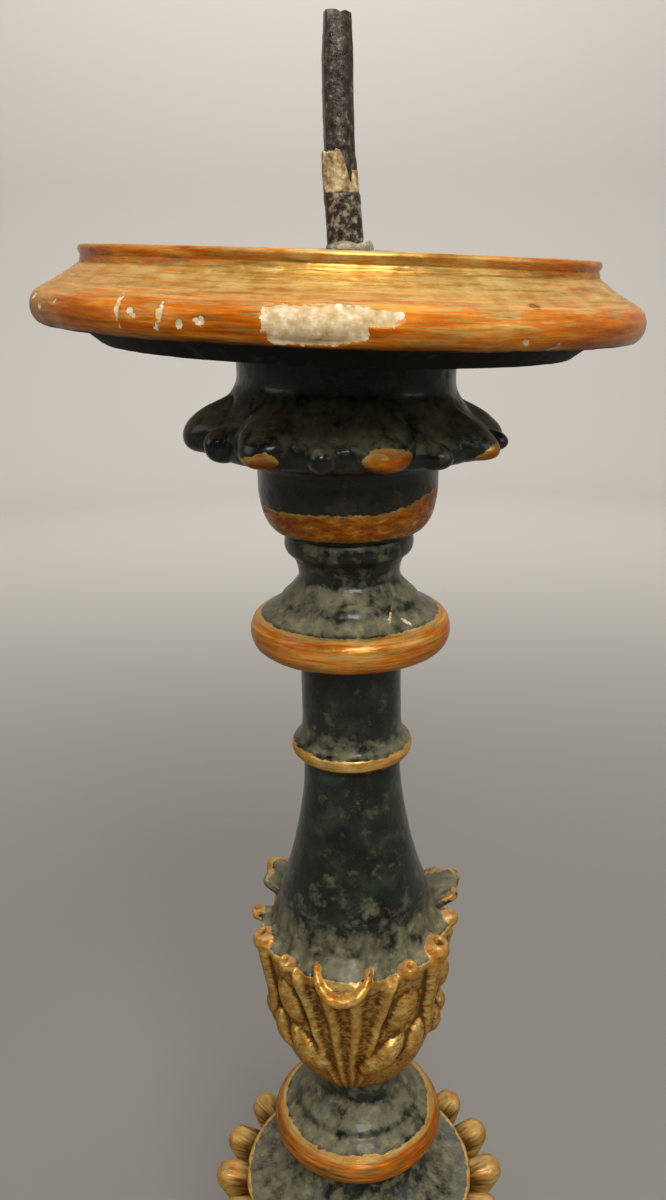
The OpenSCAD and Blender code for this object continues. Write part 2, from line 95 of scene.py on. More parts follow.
class Start(Enum):
    """How a quarter curve of an outline leaves its first point."""

    LEVEL = "level"
    UPRIGHT = "upright"


class Slot(Enum):
    """The record's material slots."""

    GILDED = "gilded_wood"
    PAINTED = "painted_wood"
    IRON = "iron"
    PAPER = "paper"
    WAX = "wax"


def linear(code: str) -> tuple[float, float, float, float]:
    """Turns an sRGB hex colour into linear light.

    Args:
        code: Colour as #rrggbb.

    Returns:
        Red, green, blue and an alpha of 1.
    """
    parts = [int(code[i:i + 2], 16) / 255 for i in (1, 3, 5)]
    light = [c / 12.92 if c <= 0.04045 else ((c + 0.055) / 1.055) ** 2.4 for c in parts]
    return light[0], light[1], light[2], 1.0


def smooth_step(low: float, high: float, value: Array) -> Array:
    """Rises from 0 at low to 1 at high along a cubic with level ends."""
    share = np.clip((value - low) / (high - low), 0, 1)
    return share * share * (3 - 2 * share)


def smooth_max(first: Array, second: Array, blend: float) -> Array:
    """Larger of two fields, with a parabola of width blend where they cross."""
    share = np.clip(0.5 + 0.5 * (first - second) / blend, 0, 1)
    return second + (first - second) * share + blend * share * (1 - share)


def hump(value: Array, middle: float, width: float) -> Array:
    """Bell curve that is 1 at the middle and falls with the square of the distance over width."""
    return np.exp(-((value - middle) / width) ** 2)


def grain(points: Array, cell: float, seed: int) -> Array:
    """Smooth random field: hashed values on a cubic lattice, joined by cubic steps along each axis.

    Args:
        points: Array that ends in three coordinates.
        cell: Lattice spacing in the same unit.
        seed: Whole number that picks the field.

    Returns:
        Values from -1 to 1, one for each point.
    """
    scaled = points / cell
    corner = np.floor(scaled).astype(np.int64)
    share = scaled - corner
    share = share * share * (3 - 2 * share)
    total = np.zeros(points.shape[:-1])
    for step in np.ndindex(2, 2, 2):
        spot = corner + np.array(step)
        x, y, z = (spot[..., axis] * factor for axis, factor in enumerate(HASH_AXES))
        mixed = (x ^ y ^ z ^ (seed * HASH_SEED)) & HASH_BITS
        mixed = ((mixed ^ (mixed >> 13)) * HASH_PRODUCT) & HASH_BITS
        value = 2 * ((mixed ^ (mixed >> 16)) & HASH_VALUE) / HASH_VALUE - 1
        weight = np.prod(np.where(np.array(step) == 1, share, 1 - share), axis=-1)
        total += value * weight
    return total


def fractal(points: Array, cell: float, seed: int, octaves: int = 3) -> Array:
    """Sum of grain fields, each with half the cell and half the strength of the one before."""
    layers = [grain(points, cell / 2 ** i, seed + i) / 2 ** i for i in range(octaves)]
    return sum(layers) / FRACTAL_SUM


def circle(turn: Array) -> Array:
    """Points of a unit circle, on which a random field has no seam."""
    return np.stack([np.cos(turn), np.sin(turn), 0 * turn], axis=-1)


def moved(points: Array, seat: Matrix) -> Array:
    """Points taken from the stem to a seat of their own."""
    return points @ np.array(seat.to_3x3()).T + np.array(seat.translation)


def quarter(p: Point, q: Point, start: Start) -> Array:
    """Quarter ellipse of an outline, without its first point.

    The axis that moves first follows a sine of the angle, and the other 1 minus its cosine.

    Args:
        p: First radius and height.
        q: Last radius and height.
        start: Whether the curve leaves p level or upright.

    Returns:
        Rows of radius and height.
    """
    angle = np.linspace(0, math.pi / 2, CURVE_STEPS + 1)[1:]
    first, last = np.sin(angle), 1 - np.cos(angle)
    across, up = (first, last) if start is Start.LEVEL else (last, first)
    return np.column_stack([p[0] + (q[0] - p[0]) * across, p[1] + (q[1] - p[1]) * up])


def roll(p: Point, q: Point, swell: float) -> Array:
    """Half ellipse of an outline, without its first point: a straight line plus a half sine outwards.

    Args:
        p: First radius and height.
        q: Last radius and height.
        swell: How far the middle stands out.

    Returns:
        Rows of radius and height.
    """
    angle = np.linspace(0, math.pi, 2 * CURVE_STEPS + 1)[1:]
    share = (1 - np.cos(angle)) / 2
    across = p[0] + (q[0] - p[0]) * share + swell * np.sin(angle)
    return np.column_stack([across, p[1] + (q[1] - p[1]) * share])


def flare(p: Point, q: Point, power: float) -> Array:
    """Curve from p to q, without p, whose radius follows a power of its height."""
    share = np.linspace(0, 1, 2 * CURVE_STEPS + 1)[1:]
    return np.column_stack([p[0] + (q[0] - p[0]) * share ** power, p[1] + (q[1] - p[1]) * share])


def bend(p: Point, corner: Point, q: Point) -> Array:
    """Curve from p to q, without p, drawn towards a corner: squares of the share weigh the three points.

    Args:
        p: First radius and height.
        corner: The point that the curve is drawn to.
        q: Last radius and height.

    Returns:
        Rows of radius and height.
    """
    share = np.linspace(0, 1, 2 * CURVE_STEPS + 1)[1:, None]
    ends = (1 - share) ** 2 * np.array(p) + share ** 2 * np.array(q)
    return ends + 2 * share * (1 - share) * np.array(corner)


def length_of(line: Array) -> float:
    """Length of an outline."""
    return float(np.linalg.norm(np.diff(line, axis=0), axis=1).sum())


def respaced(line: Array, spacing: float) -> Array:
    """Evenly spaced points along an outline, with its radius and height joined by straight lines.

    Args:
        line: Rows of radius and height.
        spacing: Distance between the new rows.

    Returns:
        Rows of radius and height, eight at least.
    """
    run = np.concatenate([[0], np.cumsum(np.linalg.norm(np.diff(line, axis=0), axis=1))])
    even = np.linspace(0, run[-1], max(8, int(run[-1] / spacing)))
    return np.column_stack([np.interp(even, run, column) for column in line.T])


def soften(line: Array, steps: float) -> Array:
    """Gaussian mean along the rows of an array, with its two end rows kept.

    Args:
        line: The rows.
        steps: Width of the mean, in rows.

    Returns:
        As many rows, softened.
    """
    count = max(1, int(3 * steps))
    weight = np.exp(-0.5 * (np.arange(-count, count + 1) / steps) ** 2)
    padded = np.pad(line, ((count, count), (0, 0)), mode="reflect", reflect_type="odd")
    columns = [np.convolve(c, weight / weight.sum(), mode="valid") for c in padded.T]
    return np.column_stack(columns)


def egg_distance(place: Array, centre: Array, half: Array, droop: float = 0) -> Array:
    """Signed distance to an ellipsoid, by the quotient of its level and the level's slope.

    Args:
        place: Points as across, out and up.
        centre: Middle of the ellipsoid in the same frame.
        half: Half sizes across, out and up.
        droop: How far its nose tips down.

    Returns:
        Distance in millimetres, negative inside.
    """
    tip = math.radians(droop)
    across, out, up = np.moveaxis(place - centre, -1, 0)
    out, up = out * math.cos(tip) - up * math.sin(tip), out * math.sin(tip) + up * math.cos(tip)
    local = np.stack([across, out, up], axis=-1)
    level = np.linalg.norm(local / half, axis=-1)
    slope = np.linalg.norm(local / np.square(half), axis=-1)
    return level * (level - 1) / np.maximum(slope, TINY)


def rod_distance(place: Array, root: Array, tip: Array, root_r: float, tip_r: float) -> Array:
    """Signed distance to a rod with round ends, whose radius goes evenly from one end to the other.

    Args:
        place: Points as across, out and up.
        root: First end of the rod's axis.
        tip: Last end of the rod's axis.
        root_r: Radius at the root.
        tip_r: Radius at the tip.

    Returns:
        Distance in millimetres, negative inside.
    """
    axis = tip - root
    share = np.clip((place - root) @ axis / (axis @ axis), 0, 1)
    off_axis = np.linalg.norm(place - root - share[..., None] * axis, axis=-1)
    return off_axis - root_r - (tip_r - root_r) * share


def make_object(name: str, points: Array, quads: Array, fans: Array,
                marks: dict[str, Array]) -> bpy.types.Object:
    """Puts points and faces into a smooth mesh.

    Args:
        name: The object's name.
        points: Rows of x, y and z in millimetres.
        quads: Rows of four point numbers.
        fans: Rows of three point numbers, which close the poles.
        marks: Values or vectors for each point, by attribute name.

    Returns:
        The new object, at the origin and in the scene.
    """
    mesh = bpy.data.meshes.new(name)
    corners = np.concatenate([quads.ravel(), fans.ravel()]).astype(np.int32)
    totals = np.concatenate([np.full(len(quads), 4), np.full(len(fans), 3)]).astype(np.int32)
    mesh.vertices.add(len(points))
    mesh.vertices.foreach_set("co", (points * MM).astype(np.float32).ravel())
    mesh.loops.add(len(corners))
    mesh.loops.foreach_set("vertex_index", corners)
    mesh.polygons.add(len(totals))
    mesh.polygons.foreach_set("loop_start", np.cumsum(totals).astype(np.int32) - totals)
    mesh.polygons.foreach_set("use_smooth", np.ones(len(totals), bool))
    for key, values in marks.items():
        kind, socket = ("FLOAT_VECTOR", "vector") if values.ndim == 2 else ("FLOAT", "value")
        attribute = mesh.attributes.new(key, kind, "POINT")
        attribute.data.foreach_set(socket, values.astype(np.float32).ravel())
    mesh.update(calc_edges=True)
    mesh.validate()
    piece = bpy.data.objects.new(name, mesh)
    bpy.context.scene.collection.objects.link(piece)
    return piece


def ring_quads(rows: int, columns: int, closed: bool = False) -> Array:
    """Faces between neighbouring rings of points, wound so that they face outwards.

    Args:
        rows: Number of rings.
        columns: Number of points on each ring.
        closed: Whether the last ring joins the first.

    Returns:
        Rows of four point numbers.
    """
    low = np.arange(rows if closed else rows - 1)[:, None] * columns
    high = (low + columns) % (rows * columns)
    here = np.arange(columns)[None, :]
    after = (here + 1) % columns
    return np.stack([low + here, low + after, high + after, high + here], axis=-1).reshape(-1, 4)


def place_piece(piece: bpy.types.Object, node: str, finish: bpy.types.Material) -> None:
    """Dresses a piece, seats it on the stem's body and lets it stand for its CAD node.

    Args:
        piece: The finished object.
        node: The CAD node that it replaces.
        finish: Its material.
    """
    piece.data.materials.append(finish)
    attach(piece, "root")
    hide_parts(node)
    log.info("%s: %d faces, finish %s", piece.name, len(piece.data.polygons), finish.name)


def top_of(node: str) -> float:
    """Height of a CAD node's highest point."""
    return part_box(node)[1].z / MM


@dataclass
class Skin:
    """Closed turned surface: rows are points of the outline, columns are turns round the stem.

    A point is (drift + r sin turn, -r cos turn, z). Carving moves it by a depth along the ray of its row,
    which is the outline's normal, averaged along the outline so that rays fan out round an edge.
    """

    outline: Array
    columns: int
    foot: list[Point] = field(default_factory=list)
    head: list[Point] = field(default_factory=list)
    spacing: float = 0.6
    edge: float = 0.5
    fan: float = 1.0
    drift: Array | float = 0.0
    marks: dict[str, Array] = field(default_factory=dict)

    def __post_init__(self) -> None:
        """Spaces the outline evenly, rounds its edges and lays out the rings.

        One more row lies close to each end, so that the hidden seat doesn't shade the side.
        """
        line = soften(respaced(self.outline, self.spacing), self.edge / self.spacing)
        last = len(line) - 1
        index = np.concatenate([[0, END_ROW], np.arange(1, last), [last - END_ROW, last]])
        line = np.column_stack([np.interp(index, np.arange(last + 1), column) for column in line.T])
        even = index / last * length_of(self.outline)
        slope = np.gradient(line, axis=0)
        normal = np.column_stack([slope[:, 1], -slope[:, 0]])
        normal = soften(normal / np.linalg.norm(normal, axis=1, keepdims=True), self.fan / self.spacing)
        normal /= np.linalg.norm(normal, axis=1, keepdims=True)
        low, high = np.array(self.foot[1:]).reshape(-1, 2), np.array(self.head[:-1]).reshape(-1, 2)
        rows = np.vstack([low, line, high])
        self.ray = np.vstack([np.zeros_like(low), normal, np.zeros_like(high)])
        before, after = np.arange(-len(low), 0), np.arange(1, len(high) + 1)
        self.arc = np.concatenate([before * HIDDEN_STEP, even, even[-1] + after * HIDDEN_STEP])[:, None]
        self.turn = np.linspace(-math.pi, math.pi, self.columns, endpoint=False)[None, :]
        self.r = np.repeat(rows[:, :1], self.columns, axis=1)
        self.z = np.repeat(rows[:, 1:], self.columns, axis=1)

    def places(self, depth: Array | float = 0) -> Array:
        """Points of the skin, pushed out along their rays by depth."""
        r, z = self.r + depth * self.ray[:, :1], self.z + depth * self.ray[:, 1:]
        return np.stack([self.drift + r * np.sin(self.turn), -r * np.cos(self.turn), z], axis=-1)

    def push(self, depth: Array) -> None:
        """Moves the skin out along its rays for good."""
        self.r = self.r + depth * self.ray[:, :1]
        self.z = self.z + depth * self.ray[:, 1:]

    def carve(self, distance: Callable[[Array], Array], reach: float, blend: float = 0.6) -> Array:
        """Pushes the skin out to the outermost point of a carved form along each ray.

        The rays are walked inwards in equal steps from reach. Where the signed distance turns negative,
        the crossing is found on the straight line between the two steps.

        Args:
            distance: Signed distance of points to the form.
            reach: Farthest depth that is searched.
            blend: Width of the hollow where the form meets the skin.

        Returns:
            Depth by which each point was pushed.
        """
        depth = np.full(self.r.shape, UNCARVED)
        found = np.zeros(self.r.shape, bool)
        before = distance(self.places(reach))
        stride = reach / CARVE_STEPS
        for step in range(1, CARVE_STEPS + CARVE_PAST):
            level = reach - step * stride
            here = distance(self.places(level))
            hit = ~found & (here < 0)
            share = here / np.minimum(here - before, -TINY)
            depth = np.where(hit, level + stride * np.clip(share, 0, 1), depth)
            found |= hit
            before = here
        depth = smooth_max(depth, np.zeros_like(depth), blend)
        self.push(depth)
        return depth

    def up(self) -> Array:
        """Upward share of the surface's normal: the cross product of the two grid directions.

        Returns:
            Values from -1 to 1, one for each point.
        """
        places = self.places()
        round_way = np.roll(places, -1, axis=1) - np.roll(places, 1, axis=1)
        up_way = np.gradient(places, axis=0)
        normal = np.cross(round_way, up_way)
        return normal[..., 2] / np.maximum(np.linalg.norm(normal, axis=-1), TINY)

    def blurred(self, values: Array, passes: int) -> Array:
        """Mean of a field over its neighbours on the grid, taken again and again.

        Args:
            values: One value for each point.
            passes: How often the mean is taken.

        Returns:
            The softened field.
        """
        for _ in range(passes):
            values = (np.roll(values, 1, axis=1) + np.roll(values, -1, axis=1) + 2 * values) / 4
            padded = np.pad(values, ((1, 1), (0, 0)), mode="edge")
            values = (padded[:-2] + padded[2:] + 2 * values) / 4
        return values

    def sway(self, cell: float, seed: int, squash: float = 0.2) -> Array:
        """Random field that changes less along the stem than round it."""
        return fractal(self.places() * np.array([1, 1, squash]), cell, seed)

    def band(self, low: float, high: float, wave: float = 0.6, seed: int = 1) -> Array:
        """Signed distance inside the stretch of outline from low to high, with hand-drawn edges."""
        return np.minimum(self.arc - low, high - self.arc) + wave * self.sway(HAND_CELL, seed)

    def build(self, name: str, stretch: float = 7, seat: Matrix | None = None) -> bpy.types.Object:
        """Makes the closed mesh, with a pole at each end of the axis.

        Args:
            name: The object's name.
            stretch: How many times longer brush streaks are round the stem than along it.
            seat: Place of the skin, in millimetres, where it isn't upright on the stem.

        Returns:
            The new object.
        """
        rows, columns = self.r.shape
        rings = self.places().reshape(-1, 3)
        poles = np.array([[0, 0, self.foot[0][1]], [0, 0, self.head[-1][1]]])
        points = np.vstack([rings, poles])
        here = np.arange(columns)
        after = (here + 1) % columns
        last = (rows - 1) * columns
        foot = np.column_stack([np.full(columns, rows * columns), after, here])
        head = np.column_stack([np.full(columns, rows * columns + 1), last + here, last + after])
        size = float(np.mean(self.r)) / stretch
        flow = np.broadcast_arrays(size * np.sin(self.turn), -size * np.cos(self.turn), self.arc)
        flow = np.stack(flow, axis=-1).reshape(-1, 3)
        marks = {"flow": np.vstack([flow, np.zeros((2, 3))]) * MM}
        for key, values in self.marks.items():
            flat = np.broadcast_to(values, self.r.shape).ravel()
            marks[key] = np.concatenate([flat, [flat[0], flat[-1]]])
        if seat is not None:
            points = moved(points, seat)
        return make_object(name, points, ring_quads(rows, columns), np.vstack([foot, head]), marks)


@dataclass(frozen=True)
class Patch:
    """A spot on a turned piece: its place round the stem and along the outline, and its half sizes."""

    turn: float
    arc: float
    half_w: float
    half_h: float
    lean: float = 0.0
    power: float = 2.0

    def inside(self, skin: Skin, start: float = 0.0) -> Array:
        """Signed distance inside the spot, a superellipse that is turned by lean.

        Args:
            skin: The turned piece.
            start: Length along the outline from which the spot's own place counts.

        Returns:
            Millimetres, positive inside.
        """
        side = math.radians(self.lean)
        gap = (skin.turn - math.radians(self.turn) + math.pi) % (2 * math.pi) - math.pi
        across, along = gap * skin.r, skin.arc - (start + self.arc) + 0 * gap
        u = np.abs(across * math.cos(side) + along * math.sin(side)) / self.half_w
        v = np.abs(along * math.cos(side) - across * math.sin(side)) / self.half_h
        return (1 - (u ** self.power + v ** self.power) ** (1 / self.power)) * min(self.half_w, self.half_h)


def within(skin: Skin, patches: Iterable[Patch], start: float = 0.0) -> Array:
    """Signed distance inside the nearest of several spots, positive inside."""
    return np.maximum.reduce([patch.inside(skin, start) for patch in patches])


@dataclass(frozen=True)
class Ring:
    """Carved forms round the stem, each at its own turn; a point belongs to the nearest."""

    turns: tuple[float, ...]

    @classmethod
    def even(cls, count: int, first: float, sway: float, seed: int) -> "Ring":
        """Evenly spaced forms, each a little off, as hand carving is."""
        dice = np.random.default_rng(seed)
        return cls(tuple(first + 360 * np.arange(count) / count + dice.uniform(-sway, sway, count)))

    def fold(self, places: Array) -> tuple[Array, Array]:
        """Turns every point into the frame of its nearest form.

        Args:
            places: Points as x, y and z.

        Returns:
            Points as across, out and up, and the number of each point's form.
        """
        turn = np.degrees(np.arctan2(places[..., 0], -places[..., 1]))
        gap = (turn[..., None] - np.array(self.turns) + 180) % 360 - 180
        index = np.argmin(np.abs(gap), axis=-1)
        local = np.radians(np.take_along_axis(gap, index[..., None], axis=-1)[..., 0])
        r = np.hypot(places[..., 0], places[..., 1])
        return np.stack([r * np.sin(local), r * np.cos(local), places[..., 2]], axis=-1), index


class Graph:
    """Node tree of one material, which ends in a Principled shader."""

    def __init__(self, name: str) -> None:
        """Starts an empty tree with a shader and an output.

        Args:
            name: The material's name.
        """
        self.material = bpy.data.materials.new(name)
        self.material.use_nodes = True
        self.tree = self.material.node_tree
        self.tree.nodes.clear()
        self.shader = self.tree.nodes.new("ShaderNodeBsdfPrincipled")
        output = self.tree.nodes.new("ShaderNodeOutputMaterial")
        self.tree.links.new(self.shader.outputs[0], output.inputs[0])

    def add(self, kind: str, inputs: dict | None = None, out: int = 0, **settings: object) -> Socket:
        """Adds a node with its settings and links.

        Args:
            kind: Blender's name for the node.
            inputs: Values or sockets by input name or number.
            out: Number of the output to hand back.
            settings: The node's own properties.

        Returns:
            The chosen output socket.
        """
        node = self.tree.nodes.new(kind)
        for key, value in settings.items():
            setattr(node, key, value)
        self.feed(node, inputs or {})
        return node.outputs[out]

    def feed(self, node: bpy.types.Node, inputs: dict) -> None:
        """Sets or links a node's inputs.

        Args:
            node: The node.
            inputs: Values or sockets by input name or number.
        """
        for key, value in inputs.items():
            if isinstance(value, Socket):
                self.tree.links.new(value, node.inputs[key])
            else:
                node.inputs[key].default_value = value

    def spot(self) -> Socket:
        """Place on the piece, in metres."""
        return self.add("ShaderNodeTexCoord", out=3)

    def mark(self, name: str) -> Socket:
        """Number that the mesh carries on its points."""
        return self.add("ShaderNodeAttribute", out=2, attribute_name=name)

    def noise(self, where: Socket, size: float, detail: float, roughness: float = 0.5,
              distortion: float = 0.0) -> Socket:
        """Noise on coordinates in metres.

        Args:
            where: The coordinates.
            size: Size of its features in millimetres.
            detail: Number of its finer layers.
            roughness: Strength of each finer layer.
            distortion: How far the features are pulled about.

        Returns:
            The factor, from 0 to 1.
        """
        return self.add("ShaderNodeTexNoise", {
            0: where, "Scale": 1 / (size * MM), "Detail": detail, "Roughness": roughness,
            "Distortion": distortion})

    def reckon(self, operation: str, *terms: Socket | float) -> Socket:
        """One step of arithmetic on sockets and numbers."""
        return self.add("ShaderNodeMath", dict(enumerate(terms)), operation=operation)

    def span(self, factor: Socket, low: float, high: float, start: float = 0.0, end: float = 1.0,
             smooth: bool = False) -> Socket:
        """Maps the stretch from low to high onto start to end, evenly or along a smooth step."""
        return self.add("ShaderNodeMapRange", {0: factor, 1: low, 2: high, 3: start, 4: end},
                        interpolation_type="SMOOTHSTEP" if smooth else "LINEAR")

    def mix(self, share: Socket | float, first: Socket | float, second: Socket | float) -> Socket:
        """Number between two others."""
        return self.add("ShaderNodeMix", {0: share, 2: first, 3: second})

    def blend(self, share: Socket, first: Socket | str, second: Socket | str) -> Socket:
        """Colour between two others, each a socket or a hex code."""
        pair = [linear(colour) if isinstance(colour, str) else colour for colour in (first, second)]
        return self.add("ShaderNodeMix", {0: share, 6: pair[0], 7: pair[1]}, out=2, data_type="RGBA")

    def bump(self, height: Socket, strength: float, depth: float) -> Socket:
        """Normal of a fine relief whose depth is in millimetres."""
        return self.add("ShaderNodeBump", {"Strength": strength, "Distance": depth * MM, "Height": height})

    def ramp(self, factor: Socket, stops: dict[float, str]) -> Socket:
        """Colours along a factor.

        Args:
            factor: Where to read the colours, from 0 to 1.
            stops: Hex codes by their places.

        Returns:
            The colour socket.
        """
        colours = self.add("ShaderNodeValToRGB", {0: factor})
        elements = colours.node.color_ramp.elements
        for element, (place, code) in zip([elements[0], elements[1]], list(stops.items())[:2]):
            element.position, element.color = place, linear(code)
        for place, code in list(stops.items())[2:]:
            elements.new(place).color = linear(code)
        return colours


@dataclass(frozen=True)
class ParcelGilding:
    """Old wood, gessoed, then painted dark green-black or water gilt over orange bole, and waxed.

    The eye gets soft gold streaks where leaf is left on the bole, a waxy gloss on both, dull dust, dirt
    and painted shade in the hollows, and chalk-white gesso where everything has chipped off.
    """

    name: str
    paint: dict[float, str] = field(default_factory=lambda: {
        0.28: "#060604", 0.42: "#0f110b", 0.55: "#1c2117", 0.66: "#2c3528", 0.78: "#2c4240"})
    bole: dict[float, str] = field(default_factory=lambda: {
        0.28: "#702f04", 0.40: "#a44e08", 0.52: "#c4670f", 0.68: "#e39a34"})
    leaf: dict[float, str] = field(default_factory=lambda: {
        0.28: "#8f5f26", 0.46: "#c29545", 0.64: "#edd083"})
    gesso: dict[float, str] = field(default_factory=lambda: {
        0.27: "#5c4420", 0.35: "#b4966a", 0.50: "#cdb284", 0.66: "#e9dcc0"})
    paint_dust: str = "#7d775b"
    fleck: str = "#a2976f"
    plain: str = "#ffffff"
    warm: str = "#f0b464"
    gilt_dust: str = "#b2905f"
    # Colours of dirt and painted shade on the paint and on the gilding; the second also fills scratches
    shade_and_soot: str = "#0b0906"
    glaze_and_shade: str = "#47280c"
    edge_mm: float = 3.5
    ragged_mm: float = 1.8
    mottle_mm: float = 11.0
    cloud_mm: float = 6.0
    streak_mm: float = 1.0
    brush_mm: float = 2.4
    scratch_mm: float = 0.5
    speck_mm: float = 0.9
    relief_mm: float = 0.5
    relief: float = 0.45
    metal: float = 0.62
    gesso_rough: float = 0.6
    specular: float = 0.2
    wax_rough: float = 0.14

    def material(self) -> bpy.types.Material:
        """Builds the node tree from the skin's marks: what covers each spot, its colour and its gloss.

        Returns:
            The finished material.
        """
        g = Graph(self.name)
        spot = g.spot()
        flow = g.add("ShaderNodeAttribute", out=1, attribute_name="flow")
        edge = g.noise(spot, self.edge_mm, 6.0, 0.6)
        mottle = g.noise(spot, self.mottle_mm, 7.0, 0.62, 0.4)
        cloud = g.noise(spot, self.cloud_mm, 7.0, 0.65)
        speck = g.noise(spot, self.speck_mm, 3.0)
        streak = g.noise(flow, self.streak_mm, 6.0, 0.6, 0.3)
        brush = g.noise(flow, self.brush_mm, 7.0, 0.62)
        scratch = g.noise(flow, self.scratch_mm, 5.0, 0.7)

        ragged = g.span(edge, 0.0, 1.0, -self.ragged_mm, self.ragged_mm)
        brushed = g.span(streak, 0.28, 0.72, -0.6, 0.6)
        cloudy = g.span(cloud, 0.25, 0.75, -0.55, 0.55)
        wiped = g.reckon("MULTIPLY_ADD", cloudy, 0.45, brushed)
        gilt = g.span(g.reckon("ADD", g.mark("gilt"), ragged), -0.15, 0.15, smooth=True)
        loss = g.span(g.reckon("ADD", g.mark("loss"), ragged), -0.1, 0.1, smooth=True)
        leaf = g.span(g.reckon("ADD", g.mark("leaf"), brushed), 0.05, 0.95, smooth=True)
        filmy = g.mix(gilt, g.reckon("MULTIPLY", cloudy, 1.5), wiped)
        dust = g.span(g.reckon("ADD", g.mark("dust"), filmy), 0.15, 1.05, 0.0, 0.85)
        # Dirt and painted shade in hollows, creases and under things, which darken and dull the finish
        smeared = g.mix(gilt, cloudy, wiped)
        grime_and_shade = g.span(g.reckon("ADD", g.mark("grime_and_shade"), smeared), 0.15, 1.1, 0.0, 0.9)

        paint = g.blend(g.span(speck, 0.62, 0.75, 0.0, 0.18), g.ramp(mottle, self.paint), self.paint_dust)
        paint = g.blend(dust, paint, self.paint_dust)
        flecks = g.reckon("MULTIPLY", g.span(edge, 0.5, 0.66, 0.0, 0.55), dust)
        paint = g.blend(flecks, paint, self.fleck)
        # Dirt and painted shade darken the paint
        paint = g.blend(grime_and_shade, paint, self.shade_and_soot)
        tone = g.mix(0.55, cloud, brush)
        gilding = g.blend(leaf, g.ramp(brush, self.bole), g.ramp(tone, self.leaf))
        gilding = g.blend(dust, gilding, self.gilt_dust)
        gilding = g.blend(g.span(scratch, 0.52, 0.78, 0.0, 0.45), gilding, self.glaze_and_shade)
        # Dirt and painted shade darken the gilding
        gilding = g.blend(grime_and_shade, gilding, self.glaze_and_shade)
        colour = g.blend(gilt, paint, gilding)
        colour = g.blend(loss, colour, g.ramp(edge, self.gesso))

        clean = g.reckon("SUBTRACT", 1.0, dust)
        whole = g.reckon("SUBTRACT", 1.0, loss)
        shine = g.reckon("MULTIPLY", gilt, leaf)
        shine = g.reckon("MULTIPLY", shine, clean)
        shine = g.reckon("MULTIPLY", shine, whole)
        metal = g.reckon("MULTIPLY", shine, self.metal)
        rough = g.mix(loss, g.span(dust, 0.0, 0.85, 0.3, 0.72), self.gesso_rough)
        rough = g.reckon("MAXIMUM", rough, g.span(grime_and_shade, 0.1, 0.9, 0.0, 0.85))
        height = g.reckon("MULTIPLY_ADD", streak, 0.5, cloud)
        height = g.reckon("MULTIPLY_ADD", gilt, 0.25, height)
        height = g.reckon("MULTIPLY_ADD", loss, -1.2, height)
        wax = g.reckon("MULTIPLY", clean, whole)
        wax = g.reckon("MULTIPLY", wax, g.span(grime_and_shade, 0.0, 0.9, 0.3, 0.03))
        wax = g.reckon("MULTIPLY", wax, g.span(gilt, 0.0, 1.0, 1.0, 0.35))
        g.feed(g.shader, {
            "Base Color": colour, "Metallic": metal, "Roughness": rough,
            "Normal": g.bump(height, self.relief, self.relief_mm), "Specular IOR Level": self.specular,
            "Specular Tint": g.blend(gilt, self.plain, self.warm), "Coat Weight": wax,
            "Coat Roughness": self.wax_rough})
        return g.material


@dataclass(frozen=True)
class ForgedIron:
    """Hand-forged iron, dark brown-black, scaled and rubbed, with wax and fluff stuck to its foot."""

    name: str = "forged iron, waxed and dusty"
    scale: dict[float, str] = field(default_factory=lambda: {
        0.30: "#17130f", 0.46: "#352d26", 0.60: "#4f4337", 0.75: "#6b563e"})
    rubbed: str = "#a39c8f"
    dust: str = "#9d937a"
    scale_mm: float = 2.2
    speck_mm: float = 0.7
    relief_mm: float = 0.3
    relief: float = 0.6

    def material(self) -> bpy.types.Material:
        """Builds the node tree; the dust mark says where wax and fluff lie.

        Returns:
            The finished material.
        """
        g = Graph(self.name)
        spot = g.spot()
        scale = g.noise(spot, self.scale_mm, 6.0, 0.6)
        speck = g.noise(spot, self.speck_mm, 4.0, 0.7)
        fluffy = g.span(scale, 0.35, 0.65, -0.5, 0.5)
        dust = g.span(g.reckon("ADD", g.mark("dust"), fluffy), 0.4, 0.8, 0.0, 0.8)
        colour = g.blend(g.span(speck, 0.6, 0.72, 0.0, 0.6), g.ramp(scale, self.scale), self.rubbed)
        g.feed(g.shader, {
            "Base Color": g.blend(dust, colour, self.dust), "Metallic": g.span(dust, 0.0, 0.8, 0.55, 0.0),
            "Roughness": g.span(scale, 0.3, 0.7, 0.2, 0.5),
            "Normal": g.bump(speck, self.relief, self.relief_mm)})
        return g.material


@dataclass(frozen=True)
class Crust:
    """A dull matt stuff in one family of colours: brittle yellowed paper, or old candle wax."""

    name: str
    colours: dict[float, str]
    patch_mm: float
    roughness: float
    fibre_mm: float = 0.5
    relief_mm: float = 0.3
    relief: float = 0.6

    def material(self) -> bpy.types.Material:
        """Builds a mottled colour with a fine crumpled surface.

        Returns:
            The finished material.
        """
        g = Graph(self.name)
        spot = g.spot()
        patch = g.noise(spot, self.patch_mm, 7.0, 0.65)
        height = g.reckon("ADD", patch, g.noise(spot, self.fibre_mm, 3.0))
        g.feed(g.shader, {
            "Base Color": g.ramp(patch, self.colours), "Roughness": self.roughness,
            "Normal": g.bump(height, self.relief, self.relief_mm)})
        return g.material


